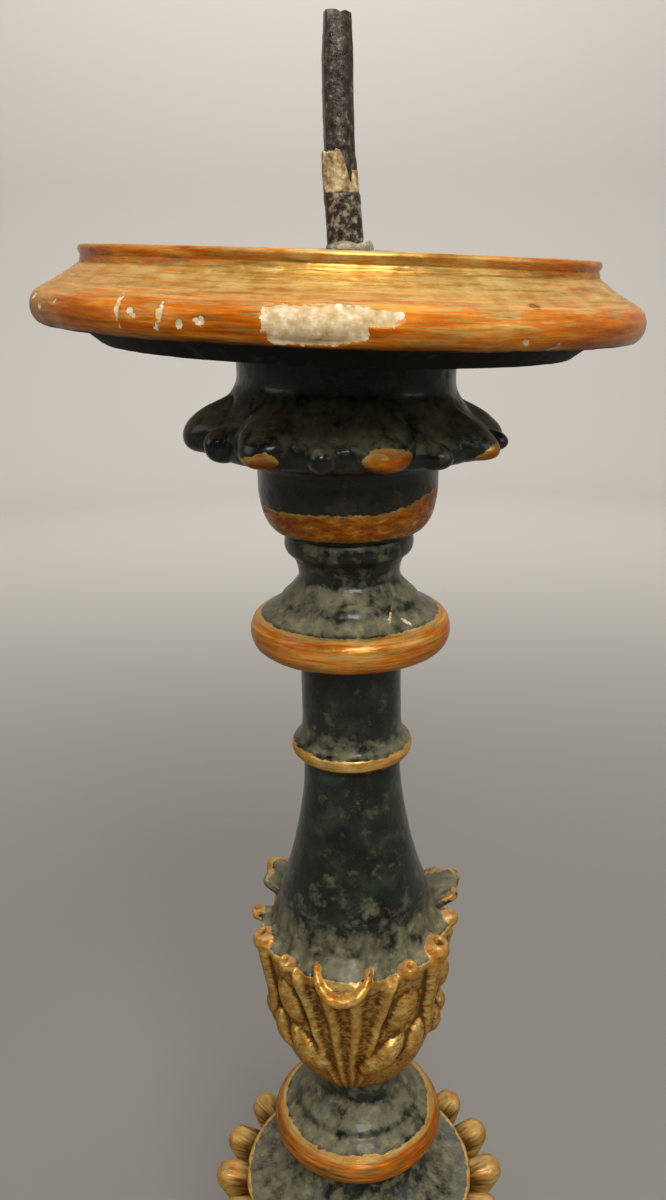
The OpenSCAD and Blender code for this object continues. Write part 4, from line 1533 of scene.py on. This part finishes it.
@dataclass
class LobedCapital:
    """Painted cup and neck with drooping lobes and small beads carved round the flare."""

    joinery: Joinery
    finish: bpy.types.Material
    tilt: float
    height: float = 64.0
    foot_r: float = 24.0
    cup_r: float = 32.0
    cup_h: float = 18.0
    flare_r: float = 50.5
    flare_h: float = 10.0
    flare_z: float = 34.0
    neck_r: float = 37.5
    neck_z: float = 51.0
    flare_power: float = 0.75
    lobe_reach: float = 57.0
    lobe_half: tuple[float, float, float] = (10.6, 15.5, 7.0)
    lobe_droop: float = 22.0
    lobe_z: float = 38.5
    lobe_growth: tuple[float, float] = (0.94, 1.08)
    bead_r: float = 4.6
    bead_inset: float = 0.5
    bead_growth: float = 1.0
    nose_inset: float = 2.0
    nose_drop: float = 9.0
    nose_share: float = 0.72
    chip: tuple[float, float, float] = (29.8, -41.0, 33.0)
    chip_r: float = 2.2
    carve_reach: float = 20.0
    columns: int = 560
    lobes: Ring = Ring((12, 57, 102, 147, 192, 237, -78, -33))
    beads: Ring = Ring((-10, 33, 79, 124, 170, 215, 259, -56))
    noses: tuple[Nose, ...] = (Nose(9.0, 1.5), Nose(8.0, 3.0), Nose(6.0, 0.0), Nose(7.0, -2.0),
                               Nose(6.0, 1.0), Nose(7.0, 0.0), Nose(3.0, 0.0), Nose(5.8, 3.6))

    def lobe_distance(self, places: Array) -> Array:
        """Signed distance to the lobes, blunt eggs of slightly different width, and to the beads.

        Args:
            places: Points as x, y and z.

        Returns:
            Distance in millimetres, negative inside.
        """
        seat = top_of("upper_knop")
        local, index = self.lobes.fold(places)
        growth = np.random.default_rng(22).uniform(*self.lobe_growth, len(self.lobes.turns))
        local = local / np.stack([growth[index], 1 + 0 * index, 1 + 0 * index], axis=-1)
        droop = math.radians(self.lobe_droop)
        half = np.array(self.lobe_half)
        reach = math.hypot(half[1] * math.cos(droop), half[2] * math.sin(droop))
        middle = np.array([0, self.lobe_reach - reach, seat + self.lobe_z])
        lobe = egg_distance(local, middle, half, self.lobe_droop)
        small, _ = self.beads.fold(places)
        bead = egg_distance(small, np.array([0, self.flare_r - self.bead_inset, seat + self.flare_z]),
                            np.array([self.bead_r, self.bead_r + self.bead_growth, self.bead_r]))
        return -smooth_max(-lobe, -bead, 0.8)

    def gilt_noses(self, places: Array) -> Array:
        """Signed distance inside the rubbed gilding on each lobe's nose, a ball of its own size.

        Args:
            places: Points as x, y and z.

        Returns:
            Millimetres, positive inside.
        """
        local, index = self.lobes.fold(places)
        size, aside = np.array([(nose.size, nose.aside) for nose in self.noses]).T[:, index]
        level = top_of("upper_knop") + self.lobe_z - self.nose_drop
        spot = np.stack([aside, 0 * size + self.lobe_reach - self.nose_inset, 0 * size + level], axis=-1)
        return size - np.linalg.norm((local - spot) * np.array([self.nose_share, 1, 1]), axis=-1)

    def wear(self, skin: Skin, depth: Array, cup_arc: float, flare_top: float) -> Wear:
        """Gilt band round the cup and gilt noses on the lobes, dust on the flare, painted shadow of the pan
        on its neck and painted shade on the cup under the flare.

        Args:
            skin: The carved capital, still upright.
            depth: How far each point was carved out.
            cup_arc: Length along the outline at the cup's edge.
            flare_top: Height of the flare's upper edge.

        Returns:
            The capital's age.
        """
        seat, places, arc = top_of("upper_knop"), skin.places(), skin.arc
        top, neck = seat + self.height, seat + self.neck_z
        right = smooth_step(8, 34, places[..., 0])
        band = np.minimum(arc - 4.0, cup_arc - 6.0 - arc + 5.0 * right) + 0.6 * skin.sway(16, 91)
        gilt = np.where(arc < cup_arc, band, np.where(depth > 1.5, self.gilt_noses(places), UNGILT))
        leaf = np.where(arc < cup_arc, 0.12 + 0.75 * smooth_step(2.2, 0.2, band),
                        0.2 + 0.7 * smooth_step(2.0, 0.0, gilt))
        chip = self.chip_r - np.linalg.norm(places - np.array(self.chip) - np.array([0, 0, seat]), axis=-1)
        skirt = smooth_step(flare_top - 6, flare_top + 4, skin.z) * smooth_step(top - 2, neck - 8, skin.z)
        # Painted shadow of the pan: darker and less dusty towards the top of the neck
        shade = smooth_step(neck - 10, top, skin.z)
        # Painted shade on the cup under the flare
        on_cup = smooth_step(cup_arc + 1, cup_arc - 1, arc)
        dust = 0.36 * skirt - 0.25 * shade + 0.1 * on_cup
        grime_and_shade = 0.6 * shade + 0.5 * on_cup + 0.5 * smooth_step(0, 3.5, gilt) * (1 - on_cup)
        return Wear(leaf=leaf, gilt=gilt, loss=chip, dust=dust, grime_and_shade=grime_and_shade, seed=93)

    def build(self) -> None:
        """Builds the capital, and leans its flare and neck as the pan leans."""
        seat = top_of("upper_knop")
        top = seat + self.height
        swell = self.flare_h / 4
        foot, cup = (self.foot_r, seat), (self.cup_r, seat + self.cup_h)
        root = (self.cup_r, seat + self.flare_z - self.flare_h)
        low = (self.flare_r - swell, seat + self.flare_z - self.flare_h / 2)
        high = (low[0], low[1] + self.flare_h)
        neck = (self.neck_r, seat + self.neck_z)
        bowl = np.vstack([[foot], quarter(foot, cup, Start.LEVEL)])
        line = np.vstack([bowl, [root], quarter(root, low, Start.UPRIGHT), roll(low, high, swell),
                          flare(high, neck, self.flare_power), [(self.neck_r, top)]])
        skin = Skin(line, self.columns, self.joinery.tenon(seat, self.foot_r),
                    [(self.neck_r - SEAT_INSET, top), (0, top)], spacing=0.5, edge=2.0, fan=6.0)
        depth = skin.carve(self.lobe_distance, self.carve_reach, blend=3.0)
        wear = self.wear(skin, depth, length_of(bowl), high[1])
        lean = math.sin(math.radians(self.tilt)) * smooth_step(root[1], high[1], skin.z)
        skin.z = skin.z - skin.r * np.sin(skin.turn) * lean
        wear.apply(skin)
        place_piece(skin.build("capital_lobes", stretch=3), "lobed_capital", self.finish)


@dataclass(frozen=True)
class PanArcs:
    """Lengths along the pan's outline at which its underside, rim, cove and lip end."""

    under: float
    rim: float
    cove: float
    lip: float


@dataclass
class DripPan:
    """Turned pan, gilt over its lip, cove and rim, black below, sitting a little out of true.

    The places of the losses along the outline count from the middle of the rim, and the knot's from the
    rim's upper end.
    """

    finish: bpy.types.Material
    thick: float = 29.5
    r: float = 100.0
    lip_r: float = 84.0
    lip_h: float = 5.0
    lip_w: float = 1.5
    cove_h: float = 8.0
    rim_h: float = 10.5
    swell: float = 3.0
    step_r: float = 86.0
    under_r: float = 78.0
    slope: float = 0.85
    tilt: float = 3.0
    shift: float = -3.0
    bead_h: float = 0.45
    bead_drop: float = 1.3
    groove_rise: float = 1.9
    columns: int = 600
    losses: tuple[Patch, ...] = (
        Patch(-4.9, 0.6, 11.5, 5.6, power=5.0), Patch(3.4, 3.0, 8.0, 2.6, lean=-6, power=3.0),
        Patch(1.6, 0.2, 3.5, 4.2, lean=35), Patch(-36, 1.5, 0.8, 4.0, lean=8),
        Patch(-27.8, 0.5, 0.8, 3.2, lean=-6), Patch(-24.3, -1, 1.0, 1.0), Patch(-20.8, 0, 1.5, 1.0),
        Patch(-33, 1, 0.8, 1.6, lean=40), Patch(28.4, -3.0, 0.9, 1.4), Patch(34.5, -5, 1.6, 0.8, lean=30),
        Patch(-67, 3.2, 2.6, 0.9, lean=10), Patch(-61, 0.6, 2.0, 0.8, lean=-8), Patch(-71, -1.2, 2.4, 1.1),
        Patch(-54, 2.4, 1.6, 0.6, lean=25), Patch(115, 0, 9, 4), Patch(-150, -1, 6, 3), Patch(164, 2, 1, 4))
    knot: Patch = Patch(31.3, 1.0, 2.2, 2.0)

    def seat(self) -> Matrix:
        """Place of the pan's underside, in millimetres: tilted about Y on top of the capital."""
        level = top_of("upper_knop") + LobedCapital.height
        return Matrix.Translation((0, 0, level)) @ Euler((0, math.radians(self.tilt), 0)).to_matrix().to_4x4()

    def outline(self) -> tuple[Array, PanArcs]:
        """Outline from the underside's edge over rim, cove and lip to the top face.

        Returns:
            The outline, and its length where each part ends.
        """
        rim_top = self.thick - self.lip_h - self.cove_h
        rim_low = rim_top - self.rim_h
        rim_r = self.r - self.swell
        step = np.array([(self.under_r, 0), (self.step_r, rim_low), (rim_r, rim_low)])
        rim = roll((rim_r, rim_low), (rim_r, rim_top), self.swell)
        slope = flare((rim_r, rim_top), (self.lip_r, self.thick - self.lip_h), self.slope)
        cove = np.vstack([step, soften(respaced(np.vstack([rim, slope]), 0.5), 4.0)])
        lip = np.vstack([cove, [(self.lip_r, self.thick)]])
        arcs = PanArcs(*(length_of(part) for part in (step, np.vstack([step, rim]), cove, lip)))
        return np.vstack([lip, [(self.lip_r - self.lip_w, self.thick)]]), arcs

    def wear(self, skin: Skin, arcs: PanArcs) -> Wear:
        """Rubbed gilding on the rim, gold and dust in the cove, painted highlights at the front of the rim
        and cove, painted shade in the lip's grooves, at the rim's ends and on the underside, and sooty dirt
        round the spike.

        Args:
            skin: The turned pan.
            arcs: Where its parts end.

        Returns:
            The pan's age.
        """
        arc, degrees, slow = skin.arc, np.degrees(skin.turn), skin.sway(24, 104, squash=0.3)
        # Painted highlight at the front: more leaf and less dust in the upper cove and on the lip there
        front = smooth_step(42, 6, np.abs(degrees - 4))
        left = smooth_step(-14, -50, degrees)
        on_rim = smooth_step(arcs.rim + 6.0, arcs.rim - 4.5, arc + 2.2 * slow)
        on_lip = smooth_step(arcs.cove + 0.2, arcs.cove + 0.8, arc)
        top = smooth_step(arcs.lip + 0.2, arcs.lip + 1.0, arc)
        below_lip = smooth_step(arcs.cove - 8, arcs.cove - 2, arc)
        # Painted shade in the grooves at the lip's foot
        groove = hump(arc, arcs.cove - 0.2, 0.9) + 0.6 * hump(arc, arcs.cove + self.groove_rise, 0.5)
        edge_line = hump(arc, arcs.lip - 0.6, 0.8)
        # Painted highlight on the rim, a little right of the front
        painted_sheen = hump(degrees, 22, 18) + 0.3 * front
        scuffed = smooth_step(-44, -62, degrees) * smooth_step(-110, -84, degrees) * on_rim
        knot = smooth_step(-0.8, 0.8, self.knot.inside(skin, arcs.rim))
        leaf = 0.74 - 0.15 * left * (1 - on_rim) - (0.66 - 0.22 * painted_sheen) * on_rim + 0.3 * front * below_lip
        leaf = leaf - (0.45 - 0.15 * front) * on_lip - 0.15 * top
        dust = (0.12 * left - 0.1 - 0.4 * front * below_lip) * (1 - on_rim) * (1 - on_lip)
        dust = dust - 0.3 * on_rim + scuffed + 0.3 * top - 0.4 * on_lip * (1 - top)
        dust = dust + 0.8 * edge_line * smooth_step(25, -5, degrees)
        grime_and_shade = 0.6 * groove + 0.3 * on_lip * (1 - edge_line) * (1 - top) + 1.1 * knot
        # Painted shade on the black underside
        grime_and_shade = grime_and_shade - 0.3 * (1 - 0.5 * on_rim) + 1.3 * smooth_step(arcs.under + 1.8, arcs.under - 0.3, arc)
        # Painted shade towards the rim's two ends, and dark patches at random
        shaded_ends_and_dirt = 0.22 * smooth_step(28, 62, np.abs(degrees)) + 0.4 * smooth_step(0.05, 0.6, -slow)
        middle = 0.75 * smooth_step(44, 14, skin.r) + 0.45 * smooth_step(-0.1, 0.5, slow)
        grime_and_shade = grime_and_shade + on_rim * shaded_ends_and_dirt + top * middle
        return Wear(leaf=leaf, gilt=arc - arcs.under - 0.2 + 0 * skin.r, dust=dust, grime_and_shade=grime_and_shade, seed=103,
                    loss=within(skin, self.losses, (arcs.under + arcs.rim) / 2))

    def build(self) -> None:
        """Builds the pan, with a bead along its lip."""
        line, arcs = self.outline()
        foot = [(0, 0)] + [(x, 0) for x in np.linspace(20, self.under_r - 0.3, 14)]
        head = [(x, self.thick) for x in np.linspace(self.lip_r - self.lip_w, 6, 34)] + [(0, self.thick)]
        skin = Skin(line, self.columns, foot, head, spacing=0.5, edge=0.45)
        bead = hump(skin.arc, arcs.lip - self.bead_drop, 1.0)
        groove = 0.8 * hump(skin.arc, arcs.cove + self.groove_rise, 0.6)
        skin.push(self.bead_h * (bead - groove))
        self.wear(skin, arcs).apply(skin)
        seat = self.seat() @ Matrix.Translation((self.shift, 0, 0))
        place_piece(skin.build("pan", stretch=9, seat=seat), "drip_pan", self.finish)


@dataclass
class Pricket:
    """Iron spike on its plate, with a torn paper wrap and a crust of old wax."""

    pan: DripPan
    iron: bpy.types.Material
    paper: bpy.types.Material
    wax: bpy.types.Material
    height: float = 69.0
    r: float = 4.9
    top_r: float = 4.2
    taper_h: float = 12.0
    grip_r: float = 5.3
    foot_r: float = 6.0
    foot_h: float = 17.0
    tang_r: float = 3.5
    tang_l: float = 46.0
    facet_mm: float = 0.22
    scale_mm: float = 0.22
    notch_mm: float = 0.7
    slant_mm: float = 0.25
    foot_off: float = 0.3
    step_off: float = 1.3
    bow_off: float = 0.5
    spike_columns: int = 96
    plate_r: float = 17.0
    plate_t: float = 1.2
    plate_cut: float = 0.35
    plate_columns: int = 180
    wrap_h: float = 10.0
    wrap_t: float = 0.4
    wrap_gap: float = 0.12
    wrap_low: float = 0.65
    wrap_rise: float = 6.0
    wrap_notch: float = 3.6
    tear_mm: float = 0.9
    fray_mm: float = 0.5
    crease_mm: float = 0.1
    wrap_columns: int = 240
    wrap_rows: int = 24
    wax_r: float = 8.6
    wax_h: float = 2.4
    wax_gap: float = 0.35
    wax_columns: int = 180
    wax_rows: int = 14

    def build(self) -> None:
        """Builds the four pieces from the pan up."""
        self.plate()
        self.crust()
        self.spike()
        self.wrap()

    def base(self) -> float:
        """Height of the spike's foot, read from the top of its CAD node."""
        return top_of("pricket_spike") - self.height

    def stray(self, level: Array) -> Array:
        """How far the forged spike strays across at a height above its foot: a step, then a shallow bow."""
        bow = np.sin(math.pi * np.clip((level - 20) / (self.height - 12), 0, 1))
        return self.foot_off - self.step_off * smooth_step(2, 24, level) - self.bow_off * bow

    def plate(self) -> None:
        """Thin plate on the pan's top, whose hand-cut edge strays by a random field."""
        low, high, r = self.pan.thick, self.pan.thick + self.plate_t, self.plate_r
        line = np.array([(r, low), (r, high), (r - 1, high)])
        foot = [(0, low), (r / 2, low), (r - FACE_INSET, low)]
        head = [(x, high) for x in np.linspace(r - 1.6, 4, 20)] + [(0, high)]
        skin = Skin(line, self.plate_columns, foot, head, spacing=0.2, edge=0.25)
        skin.r = skin.r + self.plate_cut * fractal(circle(skin.turn), 0.5, 7) * smooth_step(8, r, skin.r)
        skin.marks = {"dust": 0.45 + 0.25 * fractal(skin.places(), 6, 5)}
        place_piece(skin.build("plate", seat=self.pan.seat()), "spike_plate", self.iron)

    def spike(self) -> None:
        """Forged spike: cosines of the turn give it blunt ridges, and its top is notched and cut aslant."""
        low, grip_end = self.base(), self.foot_h + self.wrap_h
        high, tang_end = low + self.height, low - self.tang_l
        rows = np.array([(self.foot_r, 0), (self.foot_r, self.foot_h), (self.grip_r, self.foot_h + 0.3),
                         (self.grip_r, grip_end), (self.r, grip_end + 1.5),
                         (self.r, self.height - self.taper_h), (self.top_r, self.height)])
        foot = [(0, tang_end), (self.tang_r, tang_end), (self.tang_r, low), (self.foot_r - FACE_INSET, low)]
        head = [(self.top_r - 0.4, high), (self.top_r - 1.2, high), (1.2, high), (0, high)]
        skin = Skin(rows + np.array([0, low]), self.spike_columns, foot, head, spacing=0.5, edge=0.5)
        share = np.clip((skin.z - low) / self.height, 0, 1)
        free = smooth_step(0.15, 0.35, share)
        facets = self.facet_mm * np.cos(5 * (skin.turn - 0.5)) + 0.12 * np.cos(3 * skin.turn + 1.2)
        rough = self.scale_mm * fractal(skin.places(), 3.0, 111) + 0.1 * fractal(skin.places(), 1.2, 112)
        skin.r = skin.r + np.where(share > 0, (facets * free + rough * (1 - 0.6 * free)), 0) * (skin.r > 3)
        notch = hump(skin.turn, 0.25, 0.18) * smooth_step(0.985, 1.0, share) * (skin.r > 2.5)
        slant = self.slant_mm * np.sin(skin.turn) * smooth_step(0.97, 1.0, share)
        skin.z = skin.z - self.notch_mm * notch - slant
        skin.drift = self.stray(skin.z - low) * (share > 0)
        dust = 0.12 + 0.26 * smooth_step(0.3, 0.2, share) + 0.15 * smooth_step(0.06, 0.0, share)
        skin.marks = {"dust": dust}
        place_piece(skin.build("spike"), "pricket_spike", self.iron)

    def wrap(self) -> None:
        """Paper band: a closed strip whose torn top edge drops in a notch and rises on the left."""
        turn = np.linspace(-math.pi, math.pi, self.wrap_columns, endpoint=False)[None, :]
        ring, degrees = circle(turn), np.degrees(turn)
        torn = self.tear_mm * fractal(ring, 0.35, 121) + self.fray_mm * fractal(ring, 0.12, 122)
        left = smooth_step(-140, -60, degrees) * smooth_step(28, 0, degrees)
        high = self.wrap_low * self.wrap_h + self.wrap_rise * left + torn
        high = high - self.wrap_notch * hump(degrees, 34, 8)
        high = np.clip(high, 1.5, 1.3 * self.wrap_h)
        inner = self.grip_r + self.wrap_gap
        up = np.linspace(0, 1, self.wrap_rows)[:, None]
        sheet = np.broadcast_arrays(5 * np.cos(turn), 5 * np.sin(turn), 12 * up)
        crease = self.crease_mm * fractal(np.stack(sheet, axis=-1), 2.2, 123)
        radius = np.vstack([inner + self.wrap_t + crease, np.full((2, 1), inner) + 0 * turn])
        level = np.vstack([up * high, high, 0 * high])
        across = self.stray(self.foot_h + level) + radius * np.sin(turn)
        points = np.stack([across, -radius * np.cos(turn), self.base() + self.foot_h + level], axis=-1)
        self.strip("paper_band", points, "paper_wrap", self.paper)

    def crust(self) -> None:
        """Wax crust: a quarter round about the spike's foot, of random size and larger on the right."""
        turn = np.linspace(-math.pi, math.pi, self.wax_columns, endpoint=False)[None, :]
        lump = 1 + 0.28 * fractal(circle(turn), 0.5, 131) + 0.35 * hump(turn, 1.5, 0.35)
        inner = self.foot_r + self.wax_gap
        width = (self.wax_r - 1.0 - inner) * lump
        angle = np.linspace(0, math.pi / 2, self.wax_rows)[:, None]
        radius = np.vstack([inner + width * np.cos(angle) ** 1.3, inner + 0 * turn])
        low = self.pan.thick + self.plate_t
        level = np.vstack([low + self.wax_h * lump * np.sin(angle), low + 0 * turn])
        points = np.stack([radius * np.sin(turn), -radius * np.cos(turn), level], axis=-1)
        points = points + 0.12 * fractal(points, 1.0, 132)[..., None] * np.array([0, 0, 1])
        self.strip("wax", moved(points, self.pan.seat()), "wax_crust", self.wax)

    def strip(self, name: str, points: Array, node: str, finish: bpy.types.Material) -> None:
        """Makes a ring of closed strips of points and puts it in place.

        Args:
            name: The object's name.
            points: Rows of rings, each a point for every turn.
            node: The CAD node that it replaces.
            finish: Its material.
        """
        quads = ring_quads(*points.shape[:2], closed=True)
        piece = make_object(name, points.reshape(-1, 3), quads, np.zeros((0, 3), int), {})
        place_piece(piece, node, finish)


@dataclass(frozen=True)
class Softbox:
    """A square lamp: its place and aim, its size and its power in watts."""

    name: str
    place: tuple[float, float, float]
    aim: tuple[float, float, float]
    size: float
    power: float

    def hang(self) -> None:
        """Puts the lamp into the scene."""
        lamp = bpy.data.lights.new(self.name, "AREA")
        lamp.energy, lamp.size = self.power, self.size * MM
        holder = bpy.data.objects.new(self.name, lamp)
        holder.location = Vector(self.place) * MM
        holder.rotation_euler = (Vector(self.aim) - Vector(self.place)).to_track_quat("-Z", "Y").to_euler()
        bpy.context.scene.collection.objects.link(holder)


@dataclass
class Studio:
    """Round pale backdrop, soft lamps and the camera of the photograph's view."""

    floor_r: float = 2500.0
    shade_r: float = 500.0
    bend_r: float = 900.0
    wall_h: float = 2600.0
    pole_r: float = 10.0
    columns: int = 96
    # Floor colours: near is painted shade round the piece, fading to far, the pale wall
    near: str = "#85817a"
    far: str = "#d9d3c9"
    bounced: str = "#524f4a"
    matt: float = 0.9
    sky: str = "#f4f2ee"
    sky_power: float = 0.32
    camera_place: tuple[float, float, float] = (-6.2, -350.0, 624.0)
    camera_down: float = 18.5
    camera_roll: float = 1.2
    lens: float = 30.0
    sensor: float = 36.0
    clip: float = 10.0
    lamps: tuple[Softbox, ...] = (
        Softbox("key", (220, -1450, 1750), (0, 0, 550), 700, 30.0),
        Softbox("top", (60, -250, 2300), (0, 0, 500), 600, 12.0),
        Softbox("left", (-1700, -500, 1300), (0, 0, 450), 1000, 6.0),
        Softbox("right", (1700, -600, 1300), (0, 0, 450), 1000, 6.0),
        Softbox("back", (300, 1500, 1900), (0, 0, 450), 1000, 9.0),
        Softbox("wall", (0, 1600, 2400), (0, 3400, 1100), 1400, 40.0))

    def build(self) -> None:
        """Makes the backdrop, the lamps, the world and the camera."""
        self.backdrop()
        for lamp in self.lamps:
            lamp.hang()
        world = bpy.data.worlds.new("even light")
        world.use_nodes = True
        light = world.node_tree.nodes["Background"].inputs
        light[0].default_value = linear(self.sky)
        light[1].default_value = self.sky_power
        bpy.context.scene.world = world
        self.camera()

    def backdrop(self) -> None:
        """Floor that bends up into a round wall: a turned outline, open at the top."""
        wall_r = self.floor_r + self.bend_r
        curve = quarter((self.floor_r, 0), (wall_r, self.bend_r), Start.LEVEL)
        line = np.vstack([[(self.pole_r, 0), (self.floor_r, 0)], curve, [(wall_r, self.wall_h)]])
        turn = np.linspace(-math.pi, math.pi, self.columns, endpoint=False)[None, :]
        r, z = line[:, :1], line[:, 1:]
        points = np.stack(np.broadcast_arrays(r * np.sin(turn), -r * np.cos(turn), z), axis=-1).reshape(-1, 3)
        quads = ring_quads(len(line), turn.size)[:, ::-1]
        centre = np.arange(turn.size)
        fans = np.column_stack([np.full(turn.size, len(points)), centre, (centre + 1) % turn.size])
        floor = make_object("floor", np.vstack([points, [(0, 0, 0)]]), quads, fans, {})
        floor.data.materials.append(self.floor_paint())

    def floor_paint(self) -> bpy.types.Material:
        """Paint that looks pale to the camera and in reflections, and throws little light on the piece; the
        camera's colour is painted shade round the piece, fading to pale towards the wall.

        Returns:
            The finished material.
        """
        g = Graph("pale painted studio floor")
        away = g.add("ShaderNodeVectorMath", {0: g.spot()}, out=1, operation="LENGTH")
        # Painted shade round the piece: darker near it, pale towards the wall
        seen = g.blend(g.span(away, self.shade_r * MM, self.floor_r * MM, smooth=True), self.near, self.far)
        rays = g.add("ShaderNodeLightPath").node.outputs
        shown = g.reckon("MAXIMUM", rays["Is Camera Ray"], rays["Is Glossy Ray"])
        shown = g.reckon("MAXIMUM", shown, rays["Is Transmission Ray"])
        g.feed(g.shader, {"Base Color": g.blend(shown, self.bounced, seen), "Roughness": self.matt})
        return g.material

    def camera(self) -> None:
        """Camera close to the pan, looking a little down and rolled as the photograph is."""
        data = bpy.data.cameras.new("photo view")
        data.lens, data.sensor_width = self.lens, self.sensor
        data.clip_start = self.clip * MM
        holder = bpy.data.objects.new("photo view", data)
        tip = Euler((math.radians(90 - self.camera_down), 0, 0)).to_matrix()
        turn = Matrix.Rotation(math.radians(-self.camera_roll), 3, "Z")
        holder.rotation_euler = (tip @ turn).to_euler()
        holder.location = Vector(self.camera_place) * MM
        bpy.context.scene.collection.objects.link(holder)
        bpy.context.scene.camera = holder


def main() -> None:
    """Builds the candlestick from the foot up, then the studio."""
    logging.basicConfig(level=logging.INFO, format="%(name)s: %(message)s")
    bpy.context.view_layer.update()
    bpy.context.scene.view_settings.view_transform = "Standard"
    joinery = Joinery()
    wood = ParcelGilding("painted and parcel gilt wood").material()
    iron = ForgedIron().material()
    yellowed = {0.34: "#57432a", 0.46: "#977d52", 0.56: "#bda878", 0.68: "#e4d9bc"}
    dirty = {0.3: "#4a412f", 0.5: "#877a5c", 0.68: "#bdb091"}
    paper = Crust("brittle yellowed paper", yellowed, patch_mm=2.4, roughness=0.7).material()
    wax = Crust("old candle wax with dust", dirty, patch_mm=2.0, roughness=0.5).material()
    Foot(joinery, wood).build()
    FlutedCup(joinery, wood).build()
    Knop(joinery, wood, name="lower_knop_turned", node="lower_knop", below="fluted_cup", foot_r=22.0,
         rim_r=36.5, rim_h=11.0, rim_z=9.5, neck_r=17.5, neck_z=31.0, top_r=17.5, leaf=0.18, ring_w=1.6,
         ring_dust=0.2, rim_shade=0.55, seed=201).build()
    LeafCalyx(joinery, wood).build()
    VaseStem(joinery, wood).build()
    Knop(joinery, wood, name="upper_knop_turned", node="upper_knop", below="vase_stem", foot_r=18.8,
         rim_r=37.0, rim_h=13.0, rim_z=11.0, neck_r=18.3, neck_z=31.0, top_r=23.5, leaf=0.3, ring_w=0.2,
         band_h=8.0, seed=211,
         scuffs=(Patch(33, 9, 0.6, 3.6, lean=-35), Patch(40, 5, 0.5, 2.4, lean=30))).build()
    pan = DripPan(wood)
    LobedCapital(joinery, wood, pan.tilt).build()
    pan.build()
    Pricket(pan, iron, paper, wax).build()
    Studio().build()


if __name__ == "__main__":
    main()
